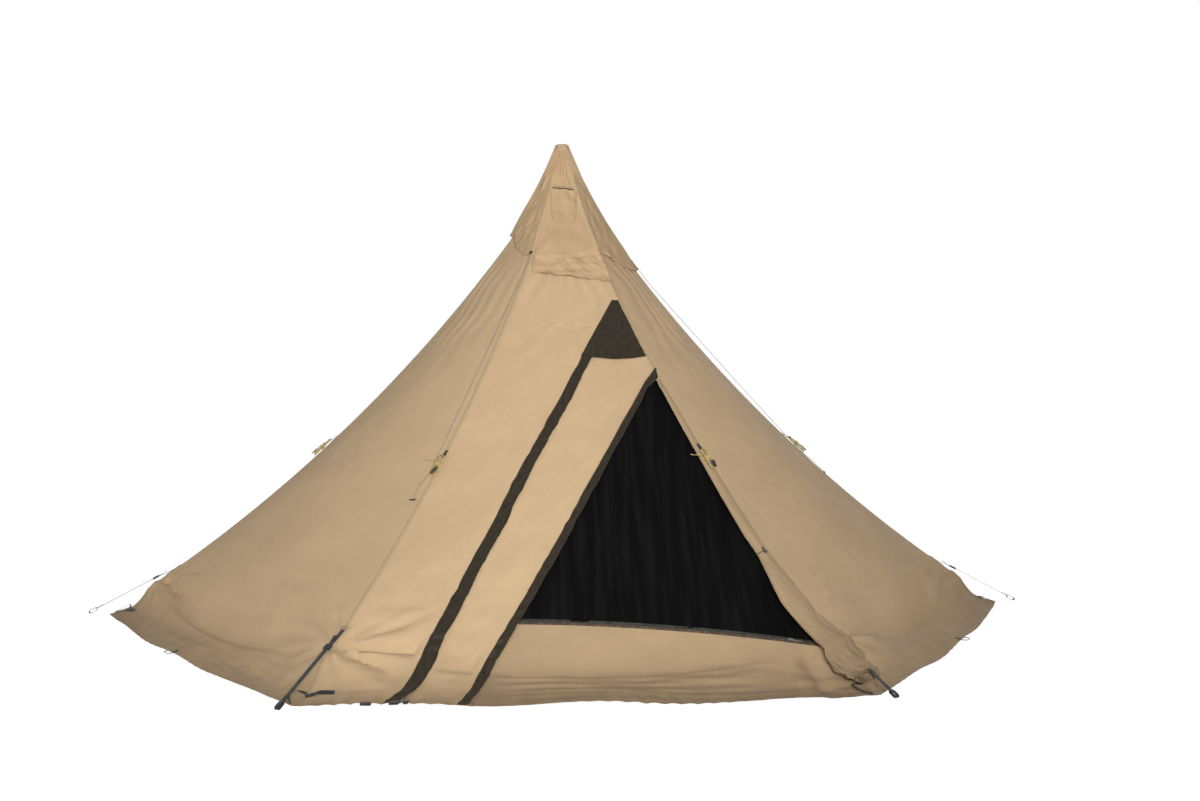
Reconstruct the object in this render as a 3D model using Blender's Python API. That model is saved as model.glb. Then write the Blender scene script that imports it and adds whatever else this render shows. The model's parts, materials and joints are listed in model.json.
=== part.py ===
"""Hexagonal tipi tent on a telescopic centre pole, with its skirt lying on the ground.

Metres, +Z up. The origin is on the ground under the pole's foot. The door looks along -Y, and the
six seams stand at 0, 60, 120, 180, 240 and 300 degrees round the pole. A place on the canvas is an
angle and a station: 0 at the neck, 1 at the kink above the skirt and 2 at the hem.
"""

import math

import bmesh
import bpy
from mathutils import Matrix, Vector

# Canvas
NECK_RADIUS = 0.262
NECK_HEIGHT = 2.000
KINK_RADIUS = 2.200
KINK_HEIGHT = 0.137
WALL_SAG = 0.117
KINK_DIP = 0.072
SKIRT_WIDTH = 0.200
SKIRT_CURVE = 2.4
BASE_ROUND = 0.15
MIDDLE_ROUND = 0.60
CLOTH = 0.0018
SEAM_GAP = 0.0006
FOLD_DEPTH = 0.012
FOLDS = 3
WALL_ROWS = 10
SKIRT_ROWS = 3
PANEL_COLUMNS = 12
FRONT_COLUMNS = 9
BAND_COLUMNS = 4
SILL_COLUMNS = 8
NET_ROWS = 7

# Small gaps and edges that many fittings share
FIT_GAP = 0.0003
EDGE = 0.001

# Door, its two zips and the net behind it
LEFT_SEAM = 240.0
RIGHT_SEAM = 300.0
LONG_ZIP_DROP = 0.333
LONG_ZIP_STOP = 0.137
LONG_ZIP_FOOT = -0.755
DOOR_ZIP_DROP = 0.358
DOOR_ZIP_STOP = 0.047
DOOR_ZIP_FOOT = -0.487
LONG_ZIP_MEET = NECK_HEIGHT - LONG_ZIP_DROP
LONG_ZIP_TOP = LONG_ZIP_MEET - LONG_ZIP_STOP
DOOR_ZIP_MEET = LONG_ZIP_MEET - DOOR_ZIP_DROP
DOOR_ZIP_TOP = DOOR_ZIP_MEET - DOOR_ZIP_STOP
ZIP_FOOT_STATION = 0.970
SILL_LEFT = 0.273
SILL_MIDDLE = 0.240
SILL_RIGHT = 0.165
SILL_END = 0.030
NET_SLIDER_SHARE = 0.880
NET_DROP = 0.047
NET_TOP = DOOR_ZIP_TOP - NET_DROP
NET_RECESS = 0.0022
NET_CLOTH = 0.0012
NET_SEAM_GAP = 0.0005
PATCH_DROP = 0.012
PATCH_HEIGHT = 0.260
PATCH_TOP = LONG_ZIP_MEET - PATCH_DROP
PATCH_BOTTOM = PATCH_TOP - PATCH_HEIGHT
PATCH_LIFT = 0.0022

# Zip tape, slider and the flap that covers them
ZIP_EDGE = 0.0090
ZIP_ROWS = 18
FLAT_BAND = 0.0450
TAPE_EDGE = 0.0085
TAPE = 0.0010
BEAD_INNER = 0.0012
BEAD_OUTER = 0.0045
BEAD_TOP = 0.0013
BEAD_BOTTOM = -0.0023
SLIDER_GAP = 0.0005
SLIDER_PLATE = 0.0018
SLIDER_WEB = 0.0016
SLIDER_HALF_WIDTH = 0.0070
SLIDER_LENGTH = 0.022
PULL_WIDTH = 0.006
PULL_LENGTH = 0.036
FLAP_HALF_WIDTH = 0.037
FLAP_CROWN = 0.0062
FLAP_LIFT = 0.0013
FLAP_CLOTH = 0.0012

# Rolled door and its tie
ROLL_DROP = 0.072
ROLL_TOP = DOOR_ZIP_TOP - ROLL_DROP
ROLL_END = 1.90
ROLL_TOP_HALF = 0.015
ROLL_FOOT_HALF = 0.054
ROLL_FLATNESS = 0.62
ROLL_PINCH = 0.25
ROLL_SEAT = 0.0030
ROLL_INSET = 0.022
TIE_STATION = 0.776
TIE_CORD = 0.0030
TIE_GAP = 0.0008

# Vent cap, vent net and the fittings at the top of the pole
CAP_APEX_RADIUS = 0.030
CAP_RISE = 0.487
CAP_STAND = 0.0140
CAP_SPREAD = 0.979
CAP_ROUND = 0.40
CAP_DROP = 0.207
CAP_TILT = 0.053
CAP_TILT_ANGLE = 165.0
CAP_CLOTH = 0.0016
CAP_ROWS = 6
CAP_COLUMNS = 24
VENT_NET_RADIUS = 0.0500
VENT_NET_CLOTH = 0.0012
CROWN_DROP = 0.095
CROWN_FLANGE = 0.0520
CROWN_THICKNESS = 0.0050
CROWN_HUB = 0.0200
CROWN_HUB_LENGTH = 0.012
CROWN_FILLET = 0.002
PLUG_LENGTH = 0.040
PLUG_DROP = 0.008
SHOULDER = 0.003
SPIKE_COLLAR = 0.004
SPIKE_POINT = 0.004
SPIKE_RADIUS = 0.0060
SPIKE_GAP = 0.0008
RING_HEIGHT = 0.016
RING_PROUD = 0.004
RING_LOOP_RADIUS = 0.0075
RING_LOOP_CORD = 0.0012

# Centre pole
TUBE_WALL = 0.0015
TUBE_GAP = 0.0005
UPPER_RADIUS = 0.0120
UPPER_FOOT = 1.600
MIDDLE_HEAD = 1.740
MIDDLE_FOOT = 0.850
LOWER_HEAD = 0.990
TUBE_SIDES = 20
FOOT_RADIUS = 0.038
FOOT_BASE = 0.010
FOOT_SOCKET = 0.055
FOOT_WALL = 0.004
FOOT_EDGE = 0.002
FOOT_FILLET = 0.004
COLLAR_WALL = 0.0065
COLLAR_HEIGHT = 0.042
COLLAR_LIP = 0.008
EAR_REACH = 0.022
EAR_WIDTH = 0.018
EAR_THICKNESS = 0.005
EAR_SLOT = 0.0084
EAR_ROOT = 0.004
EAR_STEPS = 8
CUT_REACH = 0.030
SPLIT_WIDTH = 0.0024
LEVER_WIDTH = 0.0076
LEVER_LENGTH = 0.062
LEVER_THICKNESS = 0.006
LEVER_TIP = 0.005
LEVER_NECK = 0.016
CAM_RADIUS = 0.0075
PIN_RADIUS = 0.0025
PIN_GAP = 0.0004

# Straps at the corners of the skirt
STRAP_WIDTH = 0.020
WEBBING = 0.0016
STRAP_TOP_STATION = 0.940
TAB_LENGTH = 0.050
TAB_LIFT = 0.0005
PEG_REACH = 0.110
PEG_LOOP_LENGTH = 0.050
PEG_LOOP_GAP = 0.016
STRAP_GROUND_GAP = 0.003
BUCKLE_LENGTH = 0.030
BUCKLE_WIDTH = 0.030
BUCKLE_BAR = 0.0035
BUCKLE_GAP = 0.0004
BUCKLE_DISTANCE = 0.075
STRAP_TAIL = 0.055

# Guy lines tied up on the seams, and the cords of the vent cap
GUY_CORD = 0.0034
GUY_STATION = 0.560
GUY_LOOPS = 3
GUY_LOOP_POINTS = 12
GUY_HALF_LENGTH = 0.062
GUY_HALF_WIDTH = 0.032
GUY_WAIST = 0.60
GUY_PITCH = 0.0044
GUY_SEAT = 0.0003
GUY_ROLL_SEAT = 0.0015
CAP_CORD = 0.0024
CAP_CORD_SEAMS = (0.0, 120.0, 240.0)
CAP_CORD_GAP = 0.0006
CAP_CORD_SIDE = 0.034
CAP_CORD_LOW_STATION = 0.560
TOGGLE_STATION = 0.640
TOGGLE_LENGTH = 0.034
TOGGLE_RADIUS = 0.0042
TOGGLE_LIFT = 0.0012
TOGGLE_WAIST = 0.80


def clear_scene():
    for item in list(bpy.data.objects):
        bpy.data.objects.remove(item, do_unlink=True)


def mix(a, b, share):
    return a + (b - a) * share


def make_material(name, colour, roughness, metallic=0.0):
    material = bpy.data.materials.get(name) or bpy.data.materials.new(name)
    material.use_nodes = True
    shader = material.node_tree.nodes["Principled BSDF"]
    shader.inputs["Base Color"].default_value = (*colour, 1.0)
    shader.inputs["Roughness"].default_value = roughness
    shader.inputs["Metallic"].default_value = metallic
    return material


def canvas():
    return make_material("canvas", (0.52, 0.36, 0.19), 0.85)


def dark_nylon():
    return make_material("dark_nylon", (0.022, 0.026, 0.018), 0.6)


def black_net():
    return make_material("black_net", (0.006, 0.006, 0.007), 0.75)


def black_plastic():
    return make_material("black_plastic", (0.015, 0.015, 0.016), 0.45)


def black_webbing():
    return make_material("black_webbing", (0.012, 0.012, 0.013), 0.8)


def aluminium():
    return make_material("aluminium", (0.62, 0.63, 0.65), 0.35, 1.0)


def guy_cord():
    return make_material("guy_cord", (0.42, 0.27, 0.035), 0.7)


def grey_cord():
    return make_material("grey_cord", (0.10, 0.10, 0.09), 0.7)


# Mesh helpers


def add_object(name, points, faces, material, smooth=40.0):
    mesh = bpy.data.meshes.new(name)
    mesh.from_pydata([tuple(p) for p in points], [], faces)
    work = bmesh.new()
    work.from_mesh(mesh)
    bmesh.ops.recalc_face_normals(work, faces=work.faces)
    work.to_mesh(mesh)
    work.free()
    mesh.materials.append(material)
    mesh.shade_smooth()
    mesh.set_sharp_from_angle(angle=math.radians(smooth))
    item = bpy.data.objects.new(name, mesh)
    bpy.context.collection.objects.link(item)
    return item


def grid_faces(rows, columns, start, wrap_columns=False, wrap_rows=False):
    faces = []
    for i in range(rows if wrap_rows else rows - 1):
        for j in range(columns if wrap_columns else columns - 1):
            a = start + i * columns + j
            b = start + i * columns + (j + 1) % columns
            c = start + (i + 1) % rows * columns + (j + 1) % columns
            d = start + (i + 1) % rows * columns + j
            faces.append((a, b, c, d))
    return faces


def shell(name, outer, inner, material, wrap=False):
    """A thin closed solid between two grids of points with equal rows and columns."""
    rows, columns = len(outer), len(outer[0])
    points = [p for row in outer for p in row] + [p for row in inner for p in row]
    shift = rows * columns
    faces = grid_faces(rows, columns, 0, wrap) + grid_faces(rows, columns, shift, wrap)
    for i in (0, rows - 1):
        for j in range(columns if wrap else columns - 1):
            a, b = i * columns + j, i * columns + (j + 1) % columns
            faces.append((a, b, b + shift, a + shift))
    if not wrap:
        for j in (0, columns - 1):
            for i in range(rows - 1):
                a, b = i * columns + j, (i + 1) * columns + j
                faces.append((a, b, b + shift, a + shift))
    return add_object(name, points, faces, material)


def sweep(name, rings, material, smooth=40.0):
    """A closed solid through rings of points, with a flat cap at each end."""
    rows, columns = len(rings), len(rings[0])
    points = [p for ring in rings for p in ring]
    faces = grid_faces(rows, columns, 0, wrap_columns=True)
    faces.append(tuple(range(columns)))
    faces.append(tuple((rows - 1) * columns + j for j in range(columns)))
    return add_object(name, points, faces, material, smooth)


def turned(name, outline, material, sides=TUBE_SIDES, smooth=40.0):
    """A closed outline of (radius, height) turned round +Z; it may touch the axis at its ends."""
    points, rings = [], []
    for radius, height in outline:
        if radius < 1e-7:
            rings.append([len(points)])
            points.append((0.0, 0.0, height))
            continue
        rings.append(list(range(len(points), len(points) + sides)))
        for k in range(sides):
            a = 2 * math.pi * k / sides
            points.append((radius * math.cos(a), radius * math.sin(a), height))
    solid = len(rings[0]) == 1
    faces = []
    for i in range(len(rings) - 1 if solid else len(rings)):
        low, high = rings[i], rings[(i + 1) % len(rings)]
        for k in range(sides):
            n = (k + 1) % sides
            if len(low) == 1:
                faces.append((low[0], high[k], high[n]))
            elif len(high) == 1:
                faces.append((low[k], low[n], high[0]))
            else:
                faces.append((low[k], low[n], high[n], high[k]))
    return add_object(name, points, faces, material, smooth)


def prism(name, outline, width, frame, material, smooth=40.0):
    """An outline of (x, z) in a frame, extruded by width along the frame's y, half each way."""
    rings = [[frame @ Vector((x, y, z)) for x, z in outline] for y in (-width / 2, width / 2)]
    return sweep(name, rings, material, smooth)


def box_outline(low_x, high_x, low_z, high_z):
    return [(low_x, low_z), (high_x, low_z), (high_x, high_z), (low_x, high_z)]


def ribbon_outline(path, thickness):
    """The outline of a strap of even thickness that follows a path of (x, z) points."""
    left, right = [], []
    for i, here in enumerate(path):
        back = Vector(path[max(i - 1, 0)])
        ahead = Vector(path[min(i + 1, len(path) - 1)])
        into = (Vector(here) - back).normalized() if i else (ahead - Vector(here)).normalized()
        out = (ahead - Vector(here)).normalized() if i < len(path) - 1 else into
        middle = (into + out).normalized()
        normal = Vector((-middle.y, middle.x))
        reach = thickness / 2 / max(normal.dot(Vector((-into.y, into.x))), 0.3)
        left.append(tuple(Vector(here) + normal * reach))
        right.append(tuple(Vector(here) - normal * reach))
    return left + right[::-1]


def hide_tool(item):
    item.hide_render = True
    item.display_type = "WIRE"


def combine(target, tool, operation):
    change = target.modifiers.new(operation.lower(), "BOOLEAN")
    change.operation = operation
    change.object = tool
    hide_tool(tool)


def frame_of(origin, x_axis, z_axis):
    """A frame with its x along x_axis and its z as near to z_axis as it can be."""
    x = Vector(x_axis).normalized()
    z = (Vector(z_axis) - x * Vector(z_axis).dot(x)).normalized()
    y = z.cross(x)
    return Matrix.Translation(origin) @ Matrix((x, y, z)).transposed().to_4x4()


def cord_object(name, points, diameter, material, resolution=1):
    """A cord through points, as one unbroken tube with filled ends."""
    curve = bpy.data.curves.new(name, "CURVE")
    curve.dimensions = "3D"
    curve.bevel_depth = diameter / 2
    curve.bevel_resolution = resolution
    curve.use_fill_caps = True
    spline = curve.splines.new("POLY")
    spline.points.add(len(points) - 1)
    for target, point in zip(spline.points, points):
        target.co = (*point, 1.0)
    curve.materials.append(material)
    item = bpy.data.objects.new(name, curve)
    bpy.context.collection.objects.link(item)
    return item


def smooth_route(route, count):
    """Points spread evenly in step along a smooth curve through the route's points."""
    ends = [route[0] * 2 - route[1]] + list(route) + [route[-1] * 2 - route[-2]]
    points = []
    for k in range(count):
        place = (len(route) - 1) * k / (count - 1)
        i = min(int(place), len(route) - 2)
        s = place - i
        a, b, c, d = ends[i : i + 4]
        points.append(
            (b * 2 + (c - a) * s + (a * 2 - b * 5 + c * 4 - d) * s**2
             + (b * 3 - a - c * 3 + d) * s**3) / 2
        )
    return points


def self_gap(points, diameter, skip):
    """The least gap between parts of one cord, leaving out its own next points."""
    least = math.inf
    for i in range(len(points) - 1):
        for j in range(i + skip, len(points) - 1):
            for share in (0.0, 0.5):
                here = points[i].lerp(points[i + 1], share)
                a, b = points[j], points[j + 1]
                reach = max(0.0, min(1.0, (here - a).dot(b - a) / (b - a).length_squared))
                least = min(least, (here - a.lerp(b, reach)).length)
    return least - diameter


# The canvas surface


def seam_profile(station):
    """Radius and height of a seam between the neck and the kink: one hollow arc."""
    neck = Vector((NECK_RADIUS, NECK_HEIGHT))
    kink = Vector((KINK_RADIUS, KINK_HEIGHT))
    half = (kink - neck).length / 2
    arc_radius = (half**2 + WALL_SAG**2) / (2 * WALL_SAG)
    along = (kink - neck).normalized()
    outward = Vector((-along.y, along.x))
    centre = (neck + kink) / 2 + outward * (arc_radius - WALL_SAG)
    turn = math.asin(half / arc_radius) * (2 * station - 1)
    return centre + arc_radius * (along * math.sin(turn) - outward * math.cos(turn))


def roundness(station):
    """How far a level ring of the wall goes from a hexagon, 0, to a circle, 1."""
    return BASE_ROUND + MIDDLE_ROUND * math.sin(math.pi * min(max(station, 0.0), 1.0))


def wall_point(angle, station):
    """A point on the outside of the canvas, in the wall up to station 1 and then in the skirt."""
    across = math.radians(angle % 60 - 30)
    flat = math.cos(math.radians(30)) / math.cos(across)
    middle = math.cos(3 * across) ** 2
    radius, height = seam_profile(min(station, 1.0))
    radius *= mix(flat, 1.0, roundness(station))
    height -= KINK_DIP * middle * max(0.0, (min(station, 1.0) - 0.7) / 0.3) ** 2
    if station > 1:
        u = station - 1
        radius = mix(radius, (KINK_RADIUS + SKIRT_WIDTH) * flat, u)
        height = CLOTH + (height - CLOTH) * max(1 - u, 0.0) ** mix(SKIRT_CURVE, 1.0, middle)
        fold = math.sin(math.pi * FOLDS * (angle % 60) / 60) ** 2
        height += FOLD_DEPTH * fold * u
    turn = math.radians(angle)
    return Vector((radius * math.cos(turn), radius * math.sin(turn), height))


def wall_frame(angle, station):
    """Point, way down the wall, outward normal and way round to the right, as seen from outside."""
    step = 0.01
    up = wall_point(angle, max(station - step, 0.0))
    down = wall_point(angle, min(station + step, 2.0))
    along = (down - up).normalized()
    side = wall_point(angle + 0.4, station) - wall_point(angle - 0.4, station)
    out = side.cross(along).normalized()
    if out.z < 0:
        out = -out
    return wall_point(angle, station), along, out, out.cross(along).normalized()


def inner_point(angle, station, point, thickness):
    """The point under an outer one, straight inwards within its own upright plane."""
    up = wall_point(angle, max(station - 0.01, 0.0))
    down = wall_point(angle, min(station + 0.01, 2.0))
    turn = math.radians(angle)
    radial = Vector((math.cos(turn), math.sin(turn), 0.0))
    run = (down - up).dot(radial)
    fall = (down - up).z
    normal = (radial * -fall + Vector((0, 0, run))).normalized()
    under = point - normal * thickness
    under.z = max(under.z, 0.0)
    return under


def angle_of(point):
    return math.degrees(math.atan2(point.y, point.x)) % 360


def angle_step(angle, station, distance):
    """The angle that lies a distance further round the wall."""
    point = wall_point(angle, station)
    return angle + math.degrees(distance / math.hypot(point.x, point.y))


def solve(value, low, high):
    """Where a rising function crosses zero."""
    for _ in range(48):
        middle = (low + high) / 2
        if value(middle) < 0:
            low = middle
        else:
            high = middle
    return (low + high) / 2


def station_at(height, angle):
    return solve(lambda s: height - wall_point(angle, s).z, 0.0, 1.0)


def wall_at(x, height):
    """Angle and station of the front wall's point at a given x and height."""
    angle = 270.0
    for _ in range(24):
        station = station_at(height, angle)
        radius = math.hypot(*wall_point(angle, station).xy)
        angle = 360 - math.degrees(math.acos(max(-1.0, min(1.0, x / radius))))
    return angle, station


def cloth_stations():
    """The rows that every piece of canvas shares, with one at the lower end of the zips."""
    rows = [k / WALL_ROWS for k in range(WALL_ROWS + 1)] + [ZIP_FOOT_STATION]
    rows += [1 + k / SKIRT_ROWS for k in range(1, SKIRT_ROWS + 1)]
    return sorted(rows)


def stations_from(start, end=2.0):
    """A starting station and the shared rows after it."""
    return [start] + [s for s in cloth_stations() if start + 0.012 < s <= end]


def seam_seat(angle, station):
    """A point on the straight run of a seam between two rows of the canvas."""
    rows = cloth_stations()
    high = max(s for s in rows if s <= station)
    low = min(s for s in rows if s > station)
    share = (station - high) / (low - high)
    return wall_point(angle, high).lerp(wall_point(angle, low), share)


def circle_through(a, b, c):
    """Centre and unit axis of the circle through three points."""
    first, second = b - a, c - a
    axis = first.cross(second)
    centre = a + (axis.cross(first) * second.length_squared
                  + second.cross(axis) * first.length_squared) / (2 * axis.length_squared)
    return centre, axis.normalized()


class FrontZip:
    """A zip that runs from the right seam down across the front wall.

    Between its ends it keeps to an exact line or circle, so that its slider can run along it.
    """

    def __init__(self, meet, foot, top, curved):
        self.meet = meet
        self.meet_x = wall_point(RIGHT_SEAM, station_at(meet, RIGHT_SEAM)).x
        self.foot = foot
        self.curved = curved
        self.top = self.station_of(top)
        self.bottom = ZIP_FOOT_STATION
        start, end = self.on_cloth(self.top), self.on_cloth(self.bottom)
        self.start, self.end = start[1], end[1]
        middle_angle, self.middle = self.on_cloth((self.top + self.bottom) / 2)
        out = wall_frame(middle_angle, (self.top + self.bottom) / 2)[2]
        if curved:
            self.centre, self.axis = circle_through(self.start, self.middle, self.end)
            self.radius = (self.start - self.centre).length
            radial = (self.centre - self.middle).normalized()
            if radial.dot(out) < 0:
                radial = -radial
            self.lean = math.atan2(out.dot(self.axis), out.dot(radial))
        else:
            line = (self.end - self.start).normalized()
            self.out = (out - line * out.dot(line)).normalized()

    def x_at(self, height):
        return mix(self.meet_x, self.foot, (self.meet - height) / self.meet)

    def on_cloth(self, station):
        def miss(angle):
            point = wall_point(angle, station)
            return point.x - self.x_at(point.z)

        angle = solve(miss, LEFT_SEAM, RIGHT_SEAM)
        return angle, wall_point(angle, station)

    def station_of(self, height):
        return solve(lambda s: height - self.on_cloth(s)[1].z, 0.0, 1.0)

    def frame(self, station):
        """Origin, way down the zip, outward normal and way to the right."""
        angle, cloth = self.on_cloth(station)
        if station > self.bottom + 0.001:
            ahead = self.on_cloth(min(station + 0.02, 2.0))[1]
            back = self.on_cloth(max(station - 0.02, self.bottom))[1]
            along = (ahead - back).normalized()
            out = wall_frame(angle, station)[2]
            out = (out - along * out.dot(along)).normalized()
            return cloth, along, out, out.cross(along).normalized()
        if self.curved:
            arm = cloth - self.centre
            arm -= self.axis * arm.dot(self.axis)
            arm.normalize()
            point = self.centre + arm * self.radius
            along = self.axis.cross(arm)
            if along.z > 0:
                along = -along
            radial = -arm if -arm.z > 0 else arm
            out = radial * math.cos(self.lean) + self.axis * math.sin(self.lean)
        else:
            along = (self.end - self.start).normalized()
            point = self.start + along * (cloth - self.start).dot(along)
            out = self.out
        return point, along, out, out.cross(along).normalized()


LONG_ZIP = FrontZip(LONG_ZIP_MEET, LONG_ZIP_FOOT, LONG_ZIP_TOP, curved=False)
DOOR_ZIP = FrontZip(DOOR_ZIP_MEET, DOOR_ZIP_FOOT, DOOR_ZIP_TOP, curved=True)


def seam_edge(seam, inward, gap=SEAM_GAP / 2):
    """Two places beside a seam: the cut edge and a point one flat band further in."""

    def places(station):
        result = []
        for distance in (gap, gap + FLAT_BAND - ZIP_EDGE):
            angle = angle_step(seam, station, inward * distance)
            result.append((angle, wall_point(angle, station)))
        return result

    return places


def zip_edge(zipper, side):
    """Two places beside a zip: the canvas's cut edge and a point on the free cloth."""

    def places(station):
        origin, _, _, right = zipper.frame(station)
        edge = origin + right * side * ZIP_EDGE
        angle = angle_step(angle_of(origin), station, side * FLAT_BAND)
        limit = angle_step(RIGHT_SEAM, station, -0.012)
        angle = min(angle, limit)
        return [(angle_of(edge), edge), (angle, wall_point(angle, station))]

    return places


def cloth_rows(rows, columns):
    """Grids of outer and inner points for rows of (station, left places, right places)."""
    outer, inner = [], []
    for station, left, right in rows:
        first, last = left[1][0], right[1][0]
        places = [left[0], left[1]]
        for k in range(1, columns):
            angle = mix(first, last, k / columns)
            places.append((angle, wall_point(angle, station)))
        places += [right[1], right[0]]
        outer.append([p for _, p in places])
        inner.append([inner_point(a, station, p, CLOTH) for a, p in places])
    return outer, inner


# Canvas pieces


def build_wall(name, seam):
    outer, inner = [], []
    for station in stations_from(0.0):
        places = []
        for k in range(PANEL_COLUMNS + 1):
            angle = seam + 60 * k / PANEL_COLUMNS
            if k in (0, PANEL_COLUMNS):
                angle = angle_step(angle, station, SEAM_GAP / 2 * (1 if k == 0 else -1))
            places.append((angle, wall_point(angle, station)))
        outer.append([p for _, p in places])
        inner.append([inner_point(a, station, p, CLOTH) for a, p in places])
    return shell(name, outer, inner, canvas())


def build_wall_front():
    """The left part of the front, with the whole of it above the long zip's top end."""
    left = seam_edge(LEFT_SEAM, 1)
    above = seam_edge(RIGHT_SEAM, -1)
    beside = zip_edge(LONG_ZIP, -1)
    turn = LONG_ZIP.top
    rows = [(s, left(s), above(s)) for s in stations_from(0.0) if s < turn - 0.03]
    rows.append((turn - 0.012, left(turn - 0.012), above(turn - 0.012)))
    rows += [(s, left(s), beside(s)) for s in stations_from(turn - 0.004)]
    outer, inner = cloth_rows(rows, FRONT_COLUMNS)
    return shell("wall_front", outer, inner, canvas())


def sill_rows():
    """Two more rows beside the sill, which the flap and the canvas next to it share."""
    top = DOOR_ZIP.station_of(SILL_LEFT)
    return [top, mix(top, 1.0, 0.5)]


def build_front_band():
    """The band between the two zips."""
    left = zip_edge(LONG_ZIP, 1)
    above = seam_edge(RIGHT_SEAM, -1)
    beside = zip_edge(DOOR_ZIP, -1)
    start, turn = LONG_ZIP.top, DOOR_ZIP.top
    rows = [(s, left(s), above(s)) for s in stations_from(start) if s < turn - 0.02]
    rows.append((turn - 0.009, left(turn - 0.009), above(turn - 0.009)))
    below = sorted(set(stations_from(turn - 0.003)) | set(sill_rows()))
    rows += [(s, left(s), beside(s)) for s in below]
    outer, inner = cloth_rows(rows, BAND_COLUMNS)
    return shell("wall_front_band", outer, inner, canvas())


class SillZip:
    """The curved zip along the top of the sill, on an exact circle."""

    def __init__(self):
        start_station = DOOR_ZIP.station_of(SILL_LEFT)
        self.left = DOOR_ZIP.frame(start_station)[0]
        self.end_station = station_at(SILL_RIGHT, RIGHT_SEAM)
        right_angle = angle_step(RIGHT_SEAM, self.end_station, -SILL_END)
        self.right = wall_point(right_angle, self.end_station)
        middle_angle, middle_station = wall_at((self.left.x + self.right.x) / 2, SILL_MIDDLE)
        self.middle = wall_point(middle_angle, middle_station)
        self.centre, self.axis = circle_through(self.left, self.middle, self.right)
        self.radius = (self.left - self.centre).length
        self.sweep = self.turn_to(self.right)
        out = wall_frame(middle_angle, middle_station)[2]
        up = (self.middle - self.centre).normalized()
        self.lean = math.atan2(out.dot(self.axis), out.dot(up))

    def turn_to(self, point):
        first = (self.left - self.centre).normalized()
        arm = point - self.centre
        arm = (arm - self.axis * arm.dot(self.axis)).normalized()
        return math.atan2(first.cross(arm).dot(self.axis), first.dot(arm))

    def frame(self, share):
        """Origin, way to the right, outward normal and way up, at a share of the zip."""
        arm = Matrix.Rotation(self.sweep * share, 3, self.axis) @ (self.left - self.centre)
        along = self.axis.cross(arm).normalized() * (1 if self.sweep > 0 else -1)
        radial = arm.normalized()
        out = radial * math.cos(self.lean) + self.axis * math.sin(self.lean)
        return self.centre + arm, along, out, along.cross(out).normalized() * -1


SILL_ZIP = SillZip()


def sill_edge(share, side):
    """A point one cut edge above (side 1) or below (side -1) the sill zip."""
    origin, _, out, up = SILL_ZIP.frame(share)
    if up.z < 0:
        up = -up
    return origin + up * side * ZIP_EDGE


def sill_shares(columns):
    """Shares along the sill zip, with the first one a flat band in from the door zip."""
    length = abs(SILL_ZIP.sweep) * SILL_ZIP.radius
    first, second = ZIP_EDGE / length, FLAT_BAND / length
    return [first] + [mix(second, 1.0, k / columns) for k in range(columns + 1)]


def build_sill():
    """The low part of the doorway, from the curved zip down to the hem."""
    shares = sill_shares(SILL_COLUMNS)
    left, right = zip_edge(DOOR_ZIP, 1), seam_edge(RIGHT_SEAM, -1)
    top = [sill_edge(s, -1) for s in shares]
    top_places = []
    for point in top:
        angle = angle_of(point)
        top_places.append((angle, station_at(point.z, angle)))
    end_station = top_places[-1][1]
    top_places.append((angle_step(RIGHT_SEAM, end_station, -SEAM_GAP / 2), end_station))
    top.append(wall_point(*top_places[-1]))
    count = len(top)
    outer, inner = [], []
    foot_stations = [1.0] + [1 + k / SKIRT_ROWS for k in range(1, SKIRT_ROWS + 1)]
    feet = {s: ([place[0] for place in left(s)], right(s)[0][0]) for s in foot_stations}
    first = [place[0] for place in left(1.0)]
    last = right(1.0)[0][0]

    def foot_angle(k, station):
        if k < 2:
            return feet[station][0][k]
        return mix(feet[station][0][1], feet[station][1], (k - 1) / (count - 2))

    for level in (0.0, 0.5):
        row = []
        for k in range(count):
            angle, station = top_places[k]
            goal = first[k] if k < 2 else mix(first[1], last, (k - 1) / (count - 2))
            here = mix(angle, goal, level)
            depth = mix(station, 1.0, level)
            point = top[k] if level == 0 else wall_point(here, depth)
            if k == 0 and level > 0:
                point = left(depth)[0][1]
                here = left(depth)[0][0]
            if k == count - 1:
                here = angle_step(RIGHT_SEAM, depth, -SEAM_GAP / 2)
                point = wall_point(here, depth)
            row.append((here, depth, point))
        outer.append([p for _, _, p in row])
        inner.append([inner_point(a, s, p, CLOTH) for a, s, p in row])
    for station in foot_stations:
        row = []
        for k in range(count):
            angle = foot_angle(k, station)
            point = left(station)[0][1] if k == 0 else wall_point(angle, station)
            row.append((angle, point))
        outer.append([p for _, p in row])
        inner.append([inner_point(a, station, p, CLOTH) for a, p in row])
    return shell("door_sill", outer, inner, canvas())


def build_net():
    """The fly net behind the doorway, a little inside the line of the canvas."""
    shares = sill_shares(SILL_COLUMNS)
    top_station = DOOR_ZIP.station_of(NET_TOP)
    left = zip_edge(DOOR_ZIP, 1)
    right = seam_edge(RIGHT_SEAM, -1, NET_SEAM_GAP)
    outer, inner = [], []
    bottoms = []
    for share in shares:
        point = sill_edge(share, 1)
        angle = angle_of(point)
        bottoms.append((angle, station_at(point.z, angle)))

    def spread(k, depth):
        return mix(left(depth)[1][0], right(depth)[0][0], (k - 1) / (len(bottoms) - 2))

    for i in range(NET_ROWS + 1):
        row = []
        for k, (angle, station) in enumerate(bottoms):
            depth = mix(top_station, station, i / NET_ROWS)
            if k == 0:
                here, point = left(depth)[0]
            else:
                here = spread(k, depth) + (angle - spread(k, station)) * (i / NET_ROWS) ** 2
                point = wall_point(here, depth)
            out = wall_frame(here, depth)[2]
            row.append((point - out * NET_RECESS, out))
        outer.append([p for p, _ in row])
        inner.append([p - out * NET_CLOTH for p, out in row])
    return shell("door_net", outer, inner, black_net())


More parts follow.
